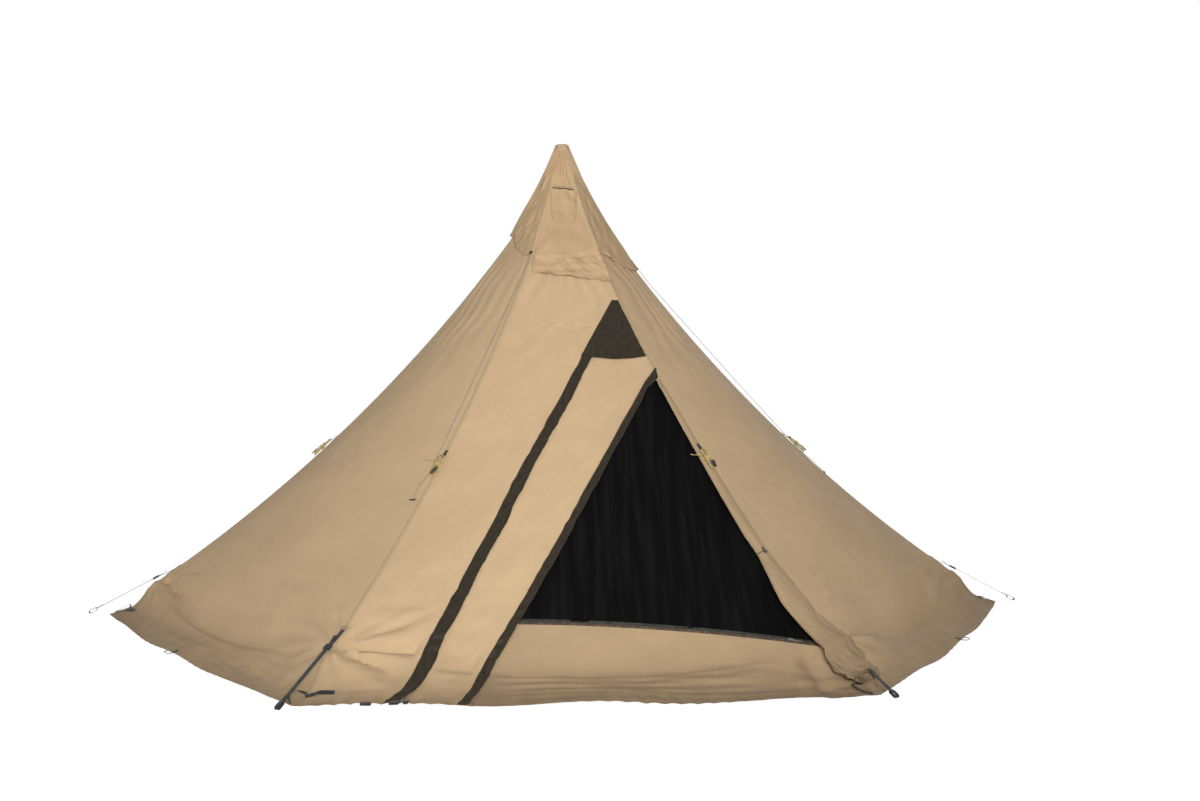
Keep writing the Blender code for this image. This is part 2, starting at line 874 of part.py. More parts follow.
def flap_rows(zipper, stations, taper):
    """Rows of (inner, outer) points of an arched flap over a zip."""
    left, right = zip_edge(zipper, -1), zip_edge(zipper, 1)
    outer, inner = [], []
    share = (FLAP_HALF_WIDTH - ZIP_EDGE) / (FLAT_BAND - ZIP_EDGE)
    for station in stations:
        origin, _, out, side = zipper.frame(station)
        width = taper(station)
        row = []
        for places, sign in ((left(station), -1), (right(station), 1)):
            edge, free = places[0][1], places[1][1]
            row.append((sign * 2, edge.lerp(free, share * width) + out * FLAP_LIFT))
            row.append((sign, origin + side * sign * 0.008 * width + out * FLAP_CROWN))
        row.sort(key=lambda item: item[0])
        inner.append([p for _, p in row])
        outer.append([p + out * FLAP_CLOTH for p in inner[-1]])
    return outer, inner


def build_flap(name, zipper, start, extra=()):
    stations = sorted(set(stations_from(start)) | set(extra))
    outer, inner = flap_rows(zipper, stations, lambda s: min(1.0, 0.35 + (s - start) / 0.05))
    return shell(name, outer, inner, dark_nylon())


def build_patch():
    """The bare dark patch over the top end of the long zip."""
    top = station_at(PATCH_TOP, RIGHT_SEAM)
    bottom = LONG_ZIP.station_of(PATCH_BOTTOM)
    outer, inner = [], []
    for k in range(5):
        station = mix(top, bottom, k / 4)
        right_angle = angle_step(RIGHT_SEAM, station, -0.006)
        left_angle = angle_step(LONG_ZIP.on_cloth(station)[0], station, -FLAP_HALF_WIDTH)
        left_angle = min(left_angle, angle_step(right_angle, station, -0.010))
        row, under = [], []
        for j in range(5):
            angle = mix(left_angle, right_angle, j / 4)
            out = wall_frame(min(angle, RIGHT_SEAM - 0.5), station)[2]
            point = wall_point(angle, station)
            lift = PATCH_LIFT + FLAP_CROWN * math.sin(math.pi * j / 4) * min(1.0, k / 2)
            under.append(point + out * lift)
            row.append(point + out * (lift + FLAP_CLOTH))
        outer.append(row)
        inner.append(under)
    return shell("apex_patch", outer, inner, dark_nylon())


def roll_section(station):
    """Half width and half thickness of the rolled door."""
    start = station_at(ROLL_TOP, RIGHT_SEAM)
    share = min(1.0, (station - start) / (1.1 - start))
    half = mix(ROLL_TOP_HALF, ROLL_FOOT_HALF, share)
    pinch = ROLL_PINCH * math.exp(-(((station - TIE_STATION) / 0.035) ** 2))
    return half * (1 - pinch), half * (1 - pinch) * ROLL_FLATNESS


def roll_frame(station):
    """Middle of the rolled door and its three directions."""
    half, thick = roll_section(station)
    inset = ROLL_INSET * min(1.0, max(0.0, (station - GUY_STATION) / 0.3))
    angle = angle_step(RIGHT_SEAM, station, -half - inset)
    point, along, out, side = wall_frame(angle, station)
    centre = point + out * (thick + ROLL_SEAT)
    return centre, along, out, side


def build_roll():
    start = station_at(ROLL_TOP, RIGHT_SEAM)
    stations = stations_from(start, ROLL_END - 0.05) + [ROLL_END]
    stations = sorted(set(stations) | {TIE_STATION - 0.05, TIE_STATION, TIE_STATION + 0.05})
    rings = []
    for station in stations:
        centre, _, out, side = roll_frame(station)
        half, thick = roll_section(station)
        ring = []
        for k in range(10):
            a = 2 * math.pi * k / 10
            point = centre + side * half * math.cos(a) + out * thick * math.sin(a)
            point.z = max(point.z, 0.0)
            ring.append(point)
        rings.append(ring)
    return sweep("door_roll", rings, canvas())


# Zips and their sliders


def zip_half(name, frames, sign, material):
    """One tape with its bead, swept along frames of (origin, outward normal, side)."""
    section = [
        (BEAD_INNER, BEAD_BOTTOM), (BEAD_OUTER, BEAD_BOTTOM), (BEAD_OUTER, -TAPE),
        (TAPE_EDGE, -TAPE), (TAPE_EDGE, 0.0), (BEAD_OUTER, 0.0),
        (BEAD_OUTER, BEAD_TOP), (BEAD_INNER, BEAD_TOP),
    ]
    rings = []
    for origin, out, side in frames:
        rings.append([origin + side * sign * w + out * h for w, h in section])
    return sweep(name, rings, material)


def front_zip_frames(zipper, stations):
    frames = []
    for station in stations:
        origin, _, out, side = zipper.frame(station)
        frames.append((origin, out, side))
    return frames


def build_long_zip():
    """Two tapes in a hairpin, joined only by the top stop, as a closed zip is."""
    ends = (LONG_ZIP.top + 0.006, LONG_ZIP.bottom)
    frames = front_zip_frames(LONG_ZIP, ends)
    item = zip_half("zip_long", frames, 1, dark_nylon())
    other = zip_half("zip_long_left_tool", frames, -1, dark_nylon())
    combine(item, other, "UNION")
    origin, along, out, _ = LONG_ZIP.frame(ends[0])
    block = frame_of(origin, along, out)
    reach = BEAD_OUTER + 0.0008
    stop = prism("zip_long_stop_tool", box_outline(0.001, 0.011, BEAD_BOTTOM - 0.0004,
                                                   BEAD_TOP + 0.0004), 2 * reach, block,
                 dark_nylon())
    combine(item, stop, "UNION")
    return item


def build_slider(name, frame, material):
    """An H-shaped slider whose web runs between the tapes, with its pull tab below."""
    low = BEAD_BOTTOM - SLIDER_GAP - SLIDER_PLATE
    high = BEAD_TOP + SLIDER_GAP + SLIDER_PLATE
    top, bottom = high - SLIDER_PLATE, low + SLIDER_PLATE
    half, web = SLIDER_HALF_WIDTH, SLIDER_WEB / 2
    section = [
        (-half, low), (half, low), (half, bottom), (web, bottom), (web, top), (half, top),
        (half, high), (-half, high), (-half, top), (-web, top), (-web, bottom), (-half, bottom),
    ]
    rings = []
    for x in (-SLIDER_LENGTH / 2, SLIDER_LENGTH / 2):
        rings.append([frame @ Vector((x, y, z)) for y, z in section])
    item = sweep(name, rings, material)
    pull = prism(name + "_pull_tool",
                 box_outline(SLIDER_LENGTH / 2 - 0.006, SLIDER_LENGTH / 2 + PULL_LENGTH,
                             high - SLIDER_PLATE * 0.8, high - 0.0001),
                 PULL_WIDTH, frame, material)
    combine(item, pull, "UNION")
    return item


def build_zips():
    build_long_zip()
    top, bottom = DOOR_ZIP.top + 0.010, DOOR_ZIP.bottom
    rows = [mix(top, bottom, k / ZIP_ROWS) for k in range(ZIP_ROWS + 1)]
    zip_half("zip_door", front_zip_frames(DOOR_ZIP, rows), -1, dark_nylon())
    frames = []
    for k in range(ZIP_ROWS + 1):
        origin, _, out, up = SILL_ZIP.frame(mix(0.04, 0.985, k / ZIP_ROWS))
        frames.append((origin, out, up if up.z > 0 else -up))
    zip_half("zip_net", frames, -1, dark_nylon())


def slider_frames():
    """The frame of each slider: x down the zip, z outwards."""
    back = SLIDER_LENGTH / 2 + 0.002
    frames = {}
    for name, zipper in (("slider_long", LONG_ZIP), ("slider_door", DOOR_ZIP)):
        origin, along, out, _ = zipper.frame(zipper.bottom)
        frames[name] = frame_of(origin - along * back, along, out)
    origin, along, out, _ = SILL_ZIP.frame(NET_SLIDER_SHARE)
    frames["slider_net"] = frame_of(origin - along * back, along, out)
    return frames


# Vent cap and the top of the pole

APEX_HEIGHT = NECK_HEIGHT + CAP_RISE
CROWN_HEIGHT = APEX_HEIGHT - CROWN_DROP


def cap_curve():
    """Slope and flare of the cap, so that its edge stands off the wall and runs beside it."""
    edge = NECK_HEIGHT - CAP_DROP
    station = solve(lambda s: edge - seam_profile(s)[1], 0.0, 1.0)
    above, below = seam_profile(station - 0.01), seam_profile(station + 0.01)
    slope = CAP_SPREAD * (below[0] - above[0]) / (above[1] - below[1])
    depth = CAP_RISE + CAP_DROP
    reach = seam_profile(station)[0] + CAP_STAND - CAP_APEX_RADIUS
    flare = (slope * depth - reach) / depth**2
    return slope - 2 * flare * depth, flare


CAP_SLOPE, CAP_FLARE = cap_curve()


def cap_edge_height(angle):
    """The cap's lower edge hangs lower to the front right."""
    return NECK_HEIGHT - CAP_DROP + CAP_TILT * math.cos(math.radians(angle - CAP_TILT_ANGLE))


def cap_point(angle, height):
    drop = APEX_HEIGHT - height
    across = math.radians(angle % 60 - 30)
    flat = math.cos(math.radians(30)) / math.cos(across)
    radius = CAP_APEX_RADIUS + CAP_SLOPE * drop + CAP_FLARE * drop**2
    radius *= mix(flat, 1.0, CAP_ROUND)
    turn = math.radians(angle)
    return Vector((radius * math.cos(turn), radius * math.sin(turn), height))


def build_cap():
    outer, inner = [], []
    for i in range(CAP_ROWS + 1):
        row, under = [], []
        for k in range(CAP_COLUMNS):
            angle = 360 * k / CAP_COLUMNS
            height = mix(APEX_HEIGHT, cap_edge_height(angle), i / CAP_ROWS)
            point = cap_point(angle, height)
            below = cap_point(angle, height - 0.01)
            turn = math.radians(angle)
            radial = Vector((math.cos(turn), math.sin(turn), 0.0))
            run = (below - point).dot(radial)
            normal = (radial * 0.01 + Vector((0, 0, run))).normalized()
            row.append(point)
            under.append(point - normal * CAP_CLOTH)
        outer.append(row)
        inner.append(under)
    return shell("vent_cap", outer, inner, canvas(), wrap=True)


def build_vent_net():
    """A cone of net from the neck of the walls up to the crown plate."""
    outer, inner = [], []
    top = Vector((VENT_NET_RADIUS, CROWN_HEIGHT - SPIKE_GAP))
    for i in range(3):
        row, under = [], []
        for k in range(CAP_COLUMNS):
            angle = 360 * k / CAP_COLUMNS
            neck = wall_point(angle, 0.0)
            base = Vector((math.hypot(neck.x, neck.y), NECK_HEIGHT + SEAM_GAP))
            line = (top - base).normalized()
            place = base.lerp(top, i / 2)
            deep = place - Vector((line.y, -line.x)) * VENT_NET_CLOTH
            turn = math.radians(angle)
            row.append(Vector((place.x * math.cos(turn), place.x * math.sin(turn), place.y)))
            under.append(Vector((deep.x * math.cos(turn), deep.x * math.sin(turn), deep.y)))
        outer.append(row)
        inner.append(under)
    return shell("vent_net", outer, inner, black_net(), wrap=True)


def build_crown():
    """The plate that the walls hang from, its hub on the shoulder of the pole's head."""
    bore = SPIKE_RADIUS + SPIKE_GAP
    low = CROWN_HEIGHT - CROWN_HUB_LENGTH
    high = CROWN_HEIGHT + CROWN_THICKNESS
    outline = [
        (bore, low), (CROWN_HUB, low), (CROWN_HUB, CROWN_HEIGHT - CROWN_FILLET),
        (CROWN_HUB + CROWN_FILLET, CROWN_HEIGHT), (CROWN_FLANGE - EDGE, CROWN_HEIGHT),
        (CROWN_FLANGE, CROWN_HEIGHT + EDGE), (CROWN_FLANGE, high - EDGE),
        (CROWN_FLANGE - EDGE, high), (bore, high),
    ]
    return turned("crown_plate", outline, black_plastic())


def build_pole_top():
    """A plug in the upper tube, a shoulder under the crown and a spike up into the cap's ring."""
    seat = CROWN_HEIGHT - CROWN_HUB_LENGTH - FIT_GAP
    tube_end = seat - PLUG_DROP
    plug = UPPER_RADIUS - TUBE_WALL - FIT_GAP
    plug_end = tube_end - PLUG_LENGTH
    shoulder = UPPER_RADIUS + SHOULDER
    ring_seat = APEX_HEIGHT + RING_PROUD - RING_HEIGHT - FIT_GAP
    collar = SPIKE_RADIUS + SPIKE_COLLAR
    tip = ring_seat + RING_HEIGHT
    outline = [
        (0.0, plug_end), (plug - EDGE, plug_end), (plug, plug_end + EDGE),
        (plug, tube_end + FIT_GAP), (shoulder, tube_end + FIT_GAP), (shoulder, seat),
        (SPIKE_RADIUS, seat), (SPIKE_RADIUS, ring_seat - 1.5 * SPIKE_COLLAR),
        (collar, ring_seat - SPIKE_COLLAR), (collar, ring_seat), (SPIKE_RADIUS, ring_seat),
        (SPIKE_RADIUS, tip - SPIKE_POINT), (SPIKE_RADIUS / 2, tip), (0.0, tip),
    ]
    turned("pole_top", outline, black_plastic())
    return tube_end


def build_apex_ring():
    """The ring sewn into the cap's top, with a small loop standing on it."""
    low = APEX_HEIGHT + RING_PROUD - RING_HEIGHT
    high = low + RING_HEIGHT
    bore = SPIKE_RADIUS + SPIKE_GAP
    under_cap = CAP_CLOTH * math.hypot(1.0, CAP_SLOPE) + SEAM_GAP
    wide = math.hypot(*cap_point(30.0, low).xy) - under_cap
    narrow = math.hypot(*cap_point(30.0, APEX_HEIGHT).xy) - under_cap
    outline = [(bore, low), (wide, low), (narrow, APEX_HEIGHT), (narrow, high), (bore, high)]
    item = turned("apex_ring", outline, black_plastic())
    centre = Vector((narrow - 2.5 * RING_LOOP_CORD, 0.0, high - EDGE))
    points = []
    for k in range(13):
        a = math.pi * k / 12
        points.append(centre + Vector((0.0, RING_LOOP_RADIUS * math.cos(a),
                                       RING_LOOP_RADIUS * math.sin(a))))
    loop = sweep("apex_loop_tool", tube_rings(points, RING_LOOP_CORD, 6), black_plastic())
    combine(item, loop, "UNION")
    return item


def tube_rings(points, radius, sides):
    """Rings of points round a path that stays in an upright plane."""
    rings = []
    for i, here in enumerate(points):
        ahead = points[min(i + 1, len(points) - 1)]
        back = points[max(i - 1, 0)]
        along = (ahead - back).normalized()
        first = Vector((1, 0, 0))
        first = (first - along * first.dot(along)).normalized()
        second = along.cross(first)
        ring = []
        for k in range(sides):
            a = 2 * math.pi * k / sides
            ring.append(here + first * radius * math.cos(a) + second * radius * math.sin(a))
        rings.append(ring)
    return rings


# Centre pole

MIDDLE_RADIUS = UPPER_RADIUS + TUBE_GAP + TUBE_WALL
LOWER_RADIUS = MIDDLE_RADIUS + TUBE_GAP + TUBE_WALL


def build_tube(name, radius, low, high):
    inner = radius - TUBE_WALL
    outline = [(radius, low), (radius, high), (inner, high), (inner, low)]
    return turned(name, outline, aluminium())


def build_foot():
    socket = LOWER_RADIUS + FIT_GAP
    wall = socket + FOOT_WALL
    outline = [
        (0.0, 0.0), (FOOT_RADIUS - FOOT_EDGE, 0.0), (FOOT_RADIUS, FOOT_EDGE),
        (FOOT_RADIUS, FOOT_BASE - FOOT_FILLET), (wall + FOOT_FILLET, FOOT_BASE + FOOT_FILLET / 2),
        (wall, FOOT_BASE + 2 * FOOT_FILLET), (wall, FOOT_SOCKET - EDGE),
        (wall - EDGE, FOOT_SOCKET), (socket, FOOT_SOCKET), (socket, FOOT_BASE), (0.0, FOOT_BASE),
    ]
    return turned("pole_foot", outline, black_plastic())


def build_clamp(level, outer_radius, inner_radius, head):
    """A split collar on the end of one tube, pinched by a cam lever on the next tube."""
    bore = outer_radius + FIT_GAP
    ring = outer_radius + COLLAR_WALL
    low, high = head - COLLAR_HEIGHT + COLLAR_LIP, head + COLLAR_LIP
    lip = inner_radius + TUBE_GAP
    outline = [(bore, low), (ring - EDGE, low), (ring, low + EDGE), (ring, high - EDGE),
               (ring - EDGE, high), (lip, high), (lip, head + FIT_GAP), (bore, head + FIT_GAP)]
    collar = turned(f"clamp_{level}", outline, black_plastic())
    middle = mix(low, high, 0.5)
    pin_x = ring + EAR_REACH - EAR_WIDTH / 2
    ear_frame = Matrix.Translation((0.0, 0.0, middle))
    ears = []
    for k in range(EAR_STEPS + 1):
        a = -math.pi / 2 + math.pi * k / EAR_STEPS
        ears.append((pin_x + EAR_WIDTH / 2 * math.cos(a), EAR_WIDTH / 2 * math.sin(a)))
    ears += [(ring - EAR_ROOT, EAR_WIDTH / 2), (ring - EAR_ROOT, -EAR_WIDTH / 2)]
    block = prism(f"clamp_{level}_ear_tool", ears, EAR_SLOT + 2 * EAR_THICKNESS, ear_frame,
                  black_plastic())
    combine(collar, block, "UNION")
    slot = prism(f"clamp_{level}_slot_tool",
                 box_outline(ring + EDGE, ring + EAR_REACH + CUT_REACH, -CUT_REACH, CUT_REACH),
                 EAR_SLOT, ear_frame, black_plastic())
    combine(collar, slot, "DIFFERENCE")
    split = prism(f"clamp_{level}_split_tool",
                  box_outline(bore / 2, ring + 3 * EDGE, -CUT_REACH, CUT_REACH),
                  SPLIT_WIDTH, ear_frame, black_plastic())
    combine(collar, split, "DIFFERENCE")
    pin_frame = Matrix.Translation((pin_x, 0.0, middle))
    hole = prism(f"clamp_{level}_hole_tool", circle_outline(PIN_RADIUS + PIN_GAP, 12),
                 EAR_SLOT + 2 * EAR_THICKNESS + CUT_REACH, pin_frame, black_plastic())
    combine(collar, hole, "DIFFERENCE")
    build_lever(level, pin_frame)


def circle_outline(radius, sides):
    return [(radius * math.cos(2 * math.pi * k / sides), radius * math.sin(2 * math.pi * k / sides))
            for k in range(sides)]


def build_lever(level, pin_frame):
    """A cam lever that lies down along the tube when it is shut, on its own pin."""
    cam = CAM_RADIUS
    handle = []
    for k in range(EAR_STEPS + 1):
        a = math.pi * k / EAR_STEPS
        handle.append((cam * math.cos(a), cam * math.sin(a)))
    handle += [
        (-cam, -2 * LEVER_TIP), (-cam + EDGE, -LEVER_LENGTH + LEVER_TIP - EDGE),
        (-cam + LEVER_TIP, -LEVER_LENGTH),
        (-cam + LEVER_TIP + LEVER_THICKNESS, -LEVER_LENGTH + EDGE),
        (-cam + LEVER_THICKNESS + 2 * EDGE, -LEVER_NECK), (cam, -LEVER_TIP + EDGE),
    ]
    lever = prism(f"clamp_lever_{level}", handle, LEVER_WIDTH, pin_frame, black_plastic())
    pin = prism(f"clamp_lever_{level}_pin_tool", circle_outline(PIN_RADIUS, 12),
                EAR_SLOT + 2 * EAR_THICKNESS, pin_frame, black_plastic())
    combine(lever, pin, "UNION")


def build_pole():
    head = build_pole_top()
    build_tube("pole_upper", UPPER_RADIUS, UPPER_FOOT, head)
    build_tube("pole_middle", MIDDLE_RADIUS, MIDDLE_FOOT, MIDDLE_HEAD)
    build_tube("pole_lower", LOWER_RADIUS, FOOT_BASE + FIT_GAP, LOWER_HEAD)
    build_foot()
    build_clamp("high", MIDDLE_RADIUS, UPPER_RADIUS, MIDDLE_HEAD)
    build_clamp("low", LOWER_RADIUS, MIDDLE_RADIUS, LOWER_HEAD)


# Straps at the corners


def corner_plane(seam):
    """A frame on the ground under the pole, its x out along a seam and its z up."""
    turn = math.radians(seam)
    return Matrix.Rotation(turn, 4, "Z")


def strap_line():
    """The top and the ground end of a corner strap, as (radius, height), and its direction."""
    radius, height = seam_profile(STRAP_TOP_STATION)
    top = Vector((radius, height)) + Vector((0.010, 0.008))
    end_height = PEG_LOOP_LENGTH / 2 + PEG_LOOP_GAP / 2 + STRAP_GROUND_GAP
    end = Vector((KINK_RADIUS + SKIRT_WIDTH + PEG_REACH - PEG_LOOP_LENGTH, end_height))
    return top, end, (end - top).normalized()


def strap_frame(seam, distance):
    """A frame on the strap's line: x down the strap, z up off it."""
    top, _, line = strap_line()
    here = top + line * distance
    plane = corner_plane(seam)
    turn = plane.to_3x3()
    return frame_of(plane @ Vector((here.x, 0, here.y)), turn @ Vector((line.x, 0, line.y)),
                    turn @ Vector((-line.y, 0, line.x)))


def build_corner_buckle(seam, name):
    """A webbing tab sewn to the corner of the wall, with its ladder-lock buckle."""
    material = black_plastic()
    start = STRAP_TOP_STATION - TAB_LENGTH / (2 * 1.36)
    points = []
    for k in range(3):
        station = mix(start, STRAP_TOP_STATION, k / 2)
        seat = seam_seat(0.0, station)
        line = (seam_seat(0.0, station + 0.01) - seam_seat(0.0, station - 0.01)).normalized()
        normal = Vector((-line.z, line.x))
        points.append(Vector((seat.x, seat.z)) + normal * (TAB_LIFT + WEBBING / 2))
    top, _, line = strap_line()
    lift = Vector((-line.y, line.x))
    buckle_start = top + line * BUCKLE_DISTANCE - lift * 0.0022
    path = [tuple(p) for p in points] + [tuple(buckle_start)]
    plane = corner_plane(seam)
    item = prism(name, ribbon_outline(path, WEBBING), STRAP_WIDTH, plane, material)
    frame = strap_frame(seam, BUCKLE_DISTANCE)
    slot = WEBBING + 2 * BUCKLE_GAP
    half = slot / 2
    body = box_outline(-0.001, BUCKLE_LENGTH, -half - BUCKLE_BAR, half + BUCKLE_BAR)
    block = prism(name + "_body_tool", body, BUCKLE_WIDTH, frame, material)
    combine(item, block, "UNION")
    passage = prism(name + "_passage_tool",
                    box_outline(-0.01, BUCKLE_LENGTH + 0.01, -half, half),
                    STRAP_WIDTH + 2 * BUCKLE_GAP, frame, material)
    combine(item, passage, "DIFFERENCE")
    for low, high, side in ((0.006, 0.013, 1), (0.017, 0.024, 1), (0.011, 0.019, -1)):
        bottom, top_z = (half * 0.5, 0.02) if side > 0 else (-0.02, -half * 0.5)
        window = prism(f"{name}_window_{int(low * 1000)}_tool",
                       box_outline(low, high, bottom, top_z), STRAP_WIDTH, frame, material)
        combine(item, window, "DIFFERENCE")
    return item


def build_peg_strap(seam, name):
    """The strap that runs through the buckle down to its loop for a peg."""
    top, end, line = strap_line()
    length = (end - top).length
    frame = strap_frame(seam, 0.0)
    start = BUCKLE_DISTANCE - STRAP_TAIL
    fold = WEBBING + 0.0004
    path = [(start, 0.006), (start + 0.025, 0.0015), (BUCKLE_DISTANCE - 0.006, 0.0),
            (length, 0.0)]
    half_gap = PEG_LOOP_GAP / 2
    middle = length + PEG_LOOP_LENGTH * 0.5
    tip = length + PEG_LOOP_LENGTH
    path += [(length + 0.010, -half_gap * 0.9), (middle, -half_gap), (tip - 0.008, -half_gap),
             (tip - 0.002, -half_gap * 0.55), (tip, 0.0), (tip - 0.002, half_gap * 0.55),
             (tip - 0.008, half_gap), (middle, half_gap), (length + 0.012, half_gap * 0.8),
             (length, fold), (length - 0.030, fold)]
    return prism(name, ribbon_outline(path, WEBBING), STRAP_WIDTH, frame, black_webbing())


# Guy lines and the cords of the cap


def build_guy_hank(seam, name):
    """A guy line folded into a hank: unbroken loops, drawn in at the waist."""
    _, along, out, side = wall_frame(seam, GUY_STATION)
    origin = seam_seat(seam, GUY_STATION)
    if seam == RIGHT_SEAM:
        origin, along, out, side = roll_frame(GUY_STATION)
        origin = origin + out * (roll_section(GUY_STATION)[1] + GUY_ROLL_SEAT)
    count = GUY_LOOPS * GUY_LOOP_POINTS
    points = []
    for k in range(count + 1):
        a = 2 * math.pi * k / GUY_LOOP_POINTS
        length = GUY_HALF_LENGTH * math.cos(a)
        width = GUY_HALF_WIDTH * math.sin(a) * mix(GUY_WAIST, 1.0, math.cos(a) ** 2)
        rise = GUY_PITCH * k / GUY_LOOP_POINTS
        points.append(origin + along * length + side * width
                      + out * (GUY_SEAT + GUY_CORD / 2 + rise))
    print(f"{name} least gap to itself {self_gap(points, GUY_CORD, 4) * 1000:.2f} mm")
    return cord_object(name, points, GUY_CORD, guy_cord())


def cap_cord_route(seam):
    """From the cap's corner, clear of the hollow wall, past the hank and down to the toggle."""
    edge = cap_edge_height(seam)
    corner = cap_point(seam, edge)
    turn = math.radians(seam)
    radial = Vector((math.cos(turn), math.sin(turn), 0.0))
    start = corner + radial * (CAP_CORD / 2 + CAP_CORD_GAP) + Vector((0, 0, 0.004))
    low, _, out, side = wall_frame(angle_step(seam, CAP_CORD_LOW_STATION, -CAP_CORD_SIDE),
                                       CAP_CORD_LOW_STATION)
    low = low + out * (CAP_CORD / 2 + 0.004)
    end, _, end_out, _ = wall_frame(angle_step(seam, TOGGLE_STATION, -CAP_CORD_SIDE - 0.012),
                                    TOGGLE_STATION)
    end = end + end_out * (TOGGLE_LIFT + TOGGLE_RADIUS)
    middle = start.lerp(low, 0.5) - out * 0.004
    tail = low.lerp(end, 0.55) - side * 0.006 + out * 0.003
    return [start, start.lerp(low, 0.1), middle, low, tail, end], end


def build_cap_cord(seam, index):
    route, end = cap_cord_route(seam)
    points = smooth_route(route, 18)
    back = (points[-2] - points[-1]).normalized()
    points[-1] = points[-1] + back * (TOGGLE_RADIUS * TOGGLE_WAIST + 0.0004)
    cord_object(f"cap_cord_{index}", points, CAP_CORD, grey_cord())
    angle = angle_step(seam, TOGGLE_STATION, -CAP_CORD_SIDE - 0.012)
    out = wall_frame(angle, TOGGLE_STATION)[2]
    across = back.cross(out).normalized()
    build_toggle(f"cap_cord_toggle_{index}", end, across, out)


def build_toggle(name, centre, along, out):
    """A short rod, slimmer in the middle where its cord is tied."""
    frame = frame_of(centre, along, out)
    half = TOGGLE_LENGTH / 2
    stops = ((-half, 0.55), (-half + 0.002, 0.9), (-half * 0.4, 1.0), (-0.003, TOGGLE_WAIST),
             (0.003, TOGGLE_WAIST), (half * 0.4, 1.0), (half - 0.002, 0.9), (half, 0.55))
    rings = []
    for x, share in stops:
        ring = []
        for k in range(8):
            a = 2 * math.pi * (k + 0.5) / 8
            radius = TOGGLE_RADIUS * share
            ring.append(frame @ Vector((x, radius * math.cos(a), radius * math.sin(a))))
        rings.append(ring)
    return sweep(name, rings, black_plastic())


def build_door_tie():
    """A cord over the rolled door from one side to the other, with a toggle on top of it."""
    centre, along, out, side = roll_frame(TIE_STATION)
    half, thick = roll_section(TIE_STATION)
    reach = TIE_CORD / 2 + TIE_GAP
    points = []
    for k in range(13):
        a = math.radians(-28 + 236 * k / 12)
        points.append(centre + side * (half + reach) * math.cos(a)
                      + out * (thick + reach) * math.sin(a))
    cord_object("door_tie", points, TIE_CORD, black_webbing())
    top = centre + out * (thick + 2 * reach - TIE_GAP + TOGGLE_RADIUS * TOGGLE_WAIST + 0.0005)
    build_toggle("door_tie_toggle", top, along, out)


def build_all():
    clear_scene()
    build_wall_front()
    build_front_band()
    build_sill()
    build_net()
    names = ("right_front", "right_back", "back", "left_back", "left_front")
    for k, name in enumerate(names):
        build_wall(f"wall_{name}", (RIGHT_SEAM + 60 * k) % 360)
    build_roll()
    build_flap("zip_flap_long", LONG_ZIP, LONG_ZIP.station_of(PATCH_BOTTOM) + 0.006)
    build_flap("zip_flap_door", DOOR_ZIP, DOOR_ZIP.top + 0.004, sill_rows())
    build_patch()
    build_zips()
    for name, frame in slider_frames().items():
        build_slider(name, frame, black_plastic())
    build_cap()
    build_vent_net()
    build_crown()
    build_apex_ring()
    build_pole()
    for k in range(6):
        build_corner_buckle(60.0 * k, f"corner_buckle_{k + 1}")
        build_peg_strap(60.0 * k, f"peg_strap_{k + 1}")
        build_guy_hank(60.0 * k, f"guy_hank_{k + 1}")
    for k, seam in enumerate(CAP_CORD_SEAMS):
        build_cap_cord(seam, k + 1)
    build_door_tie()


build_all()
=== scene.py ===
"""Looks of a hexagonal canvas tipi tent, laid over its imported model.

Metres, +Z up, with the origin on the ground under the pole and the door towards -Y. A place on the
canvas is an angle round the pole, in degrees, and a station: 0 at the neck, 1 at the kink above the
skirt and 2 at the hem. The driving sizes repeat those of the model.
"""

import json
import math
import random

import bpy
import numpy as np
from mathutils import Matrix, Vector


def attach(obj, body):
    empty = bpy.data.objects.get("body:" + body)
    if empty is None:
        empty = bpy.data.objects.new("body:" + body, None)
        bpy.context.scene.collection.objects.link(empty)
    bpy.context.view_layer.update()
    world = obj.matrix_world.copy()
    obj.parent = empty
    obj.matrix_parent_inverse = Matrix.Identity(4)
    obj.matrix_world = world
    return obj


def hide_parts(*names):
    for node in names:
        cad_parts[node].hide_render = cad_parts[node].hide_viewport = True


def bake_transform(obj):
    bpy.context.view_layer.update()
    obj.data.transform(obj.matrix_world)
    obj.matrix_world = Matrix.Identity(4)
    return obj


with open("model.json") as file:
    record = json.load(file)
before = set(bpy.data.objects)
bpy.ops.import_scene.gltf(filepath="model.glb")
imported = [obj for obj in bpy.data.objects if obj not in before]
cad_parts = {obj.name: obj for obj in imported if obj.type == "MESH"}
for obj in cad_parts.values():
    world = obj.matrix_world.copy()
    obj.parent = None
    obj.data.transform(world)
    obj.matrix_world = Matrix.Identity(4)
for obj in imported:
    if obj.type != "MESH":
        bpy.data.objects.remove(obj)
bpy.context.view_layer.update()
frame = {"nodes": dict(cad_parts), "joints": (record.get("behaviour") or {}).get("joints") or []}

# Canvas, as in the model
NECK_RADIUS = 0.262
NECK_HEIGHT = 2.000
KINK_RADIUS = 2.200
KINK_HEIGHT = 0.137
WALL_SAG = 0.117
KINK_DIP = 0.072
SKIRT_WIDTH = 0.200
SKIRT_CURVE = 2.4
BASE_ROUND = 0.15
MIDDLE_ROUND = 0.60
CLOTH = 0.0018
FOLD_DEPTH = 0.012
FOLDS = 3
WALL_LENGTH = 2.69
SKIRT_LENGTH = 0.25

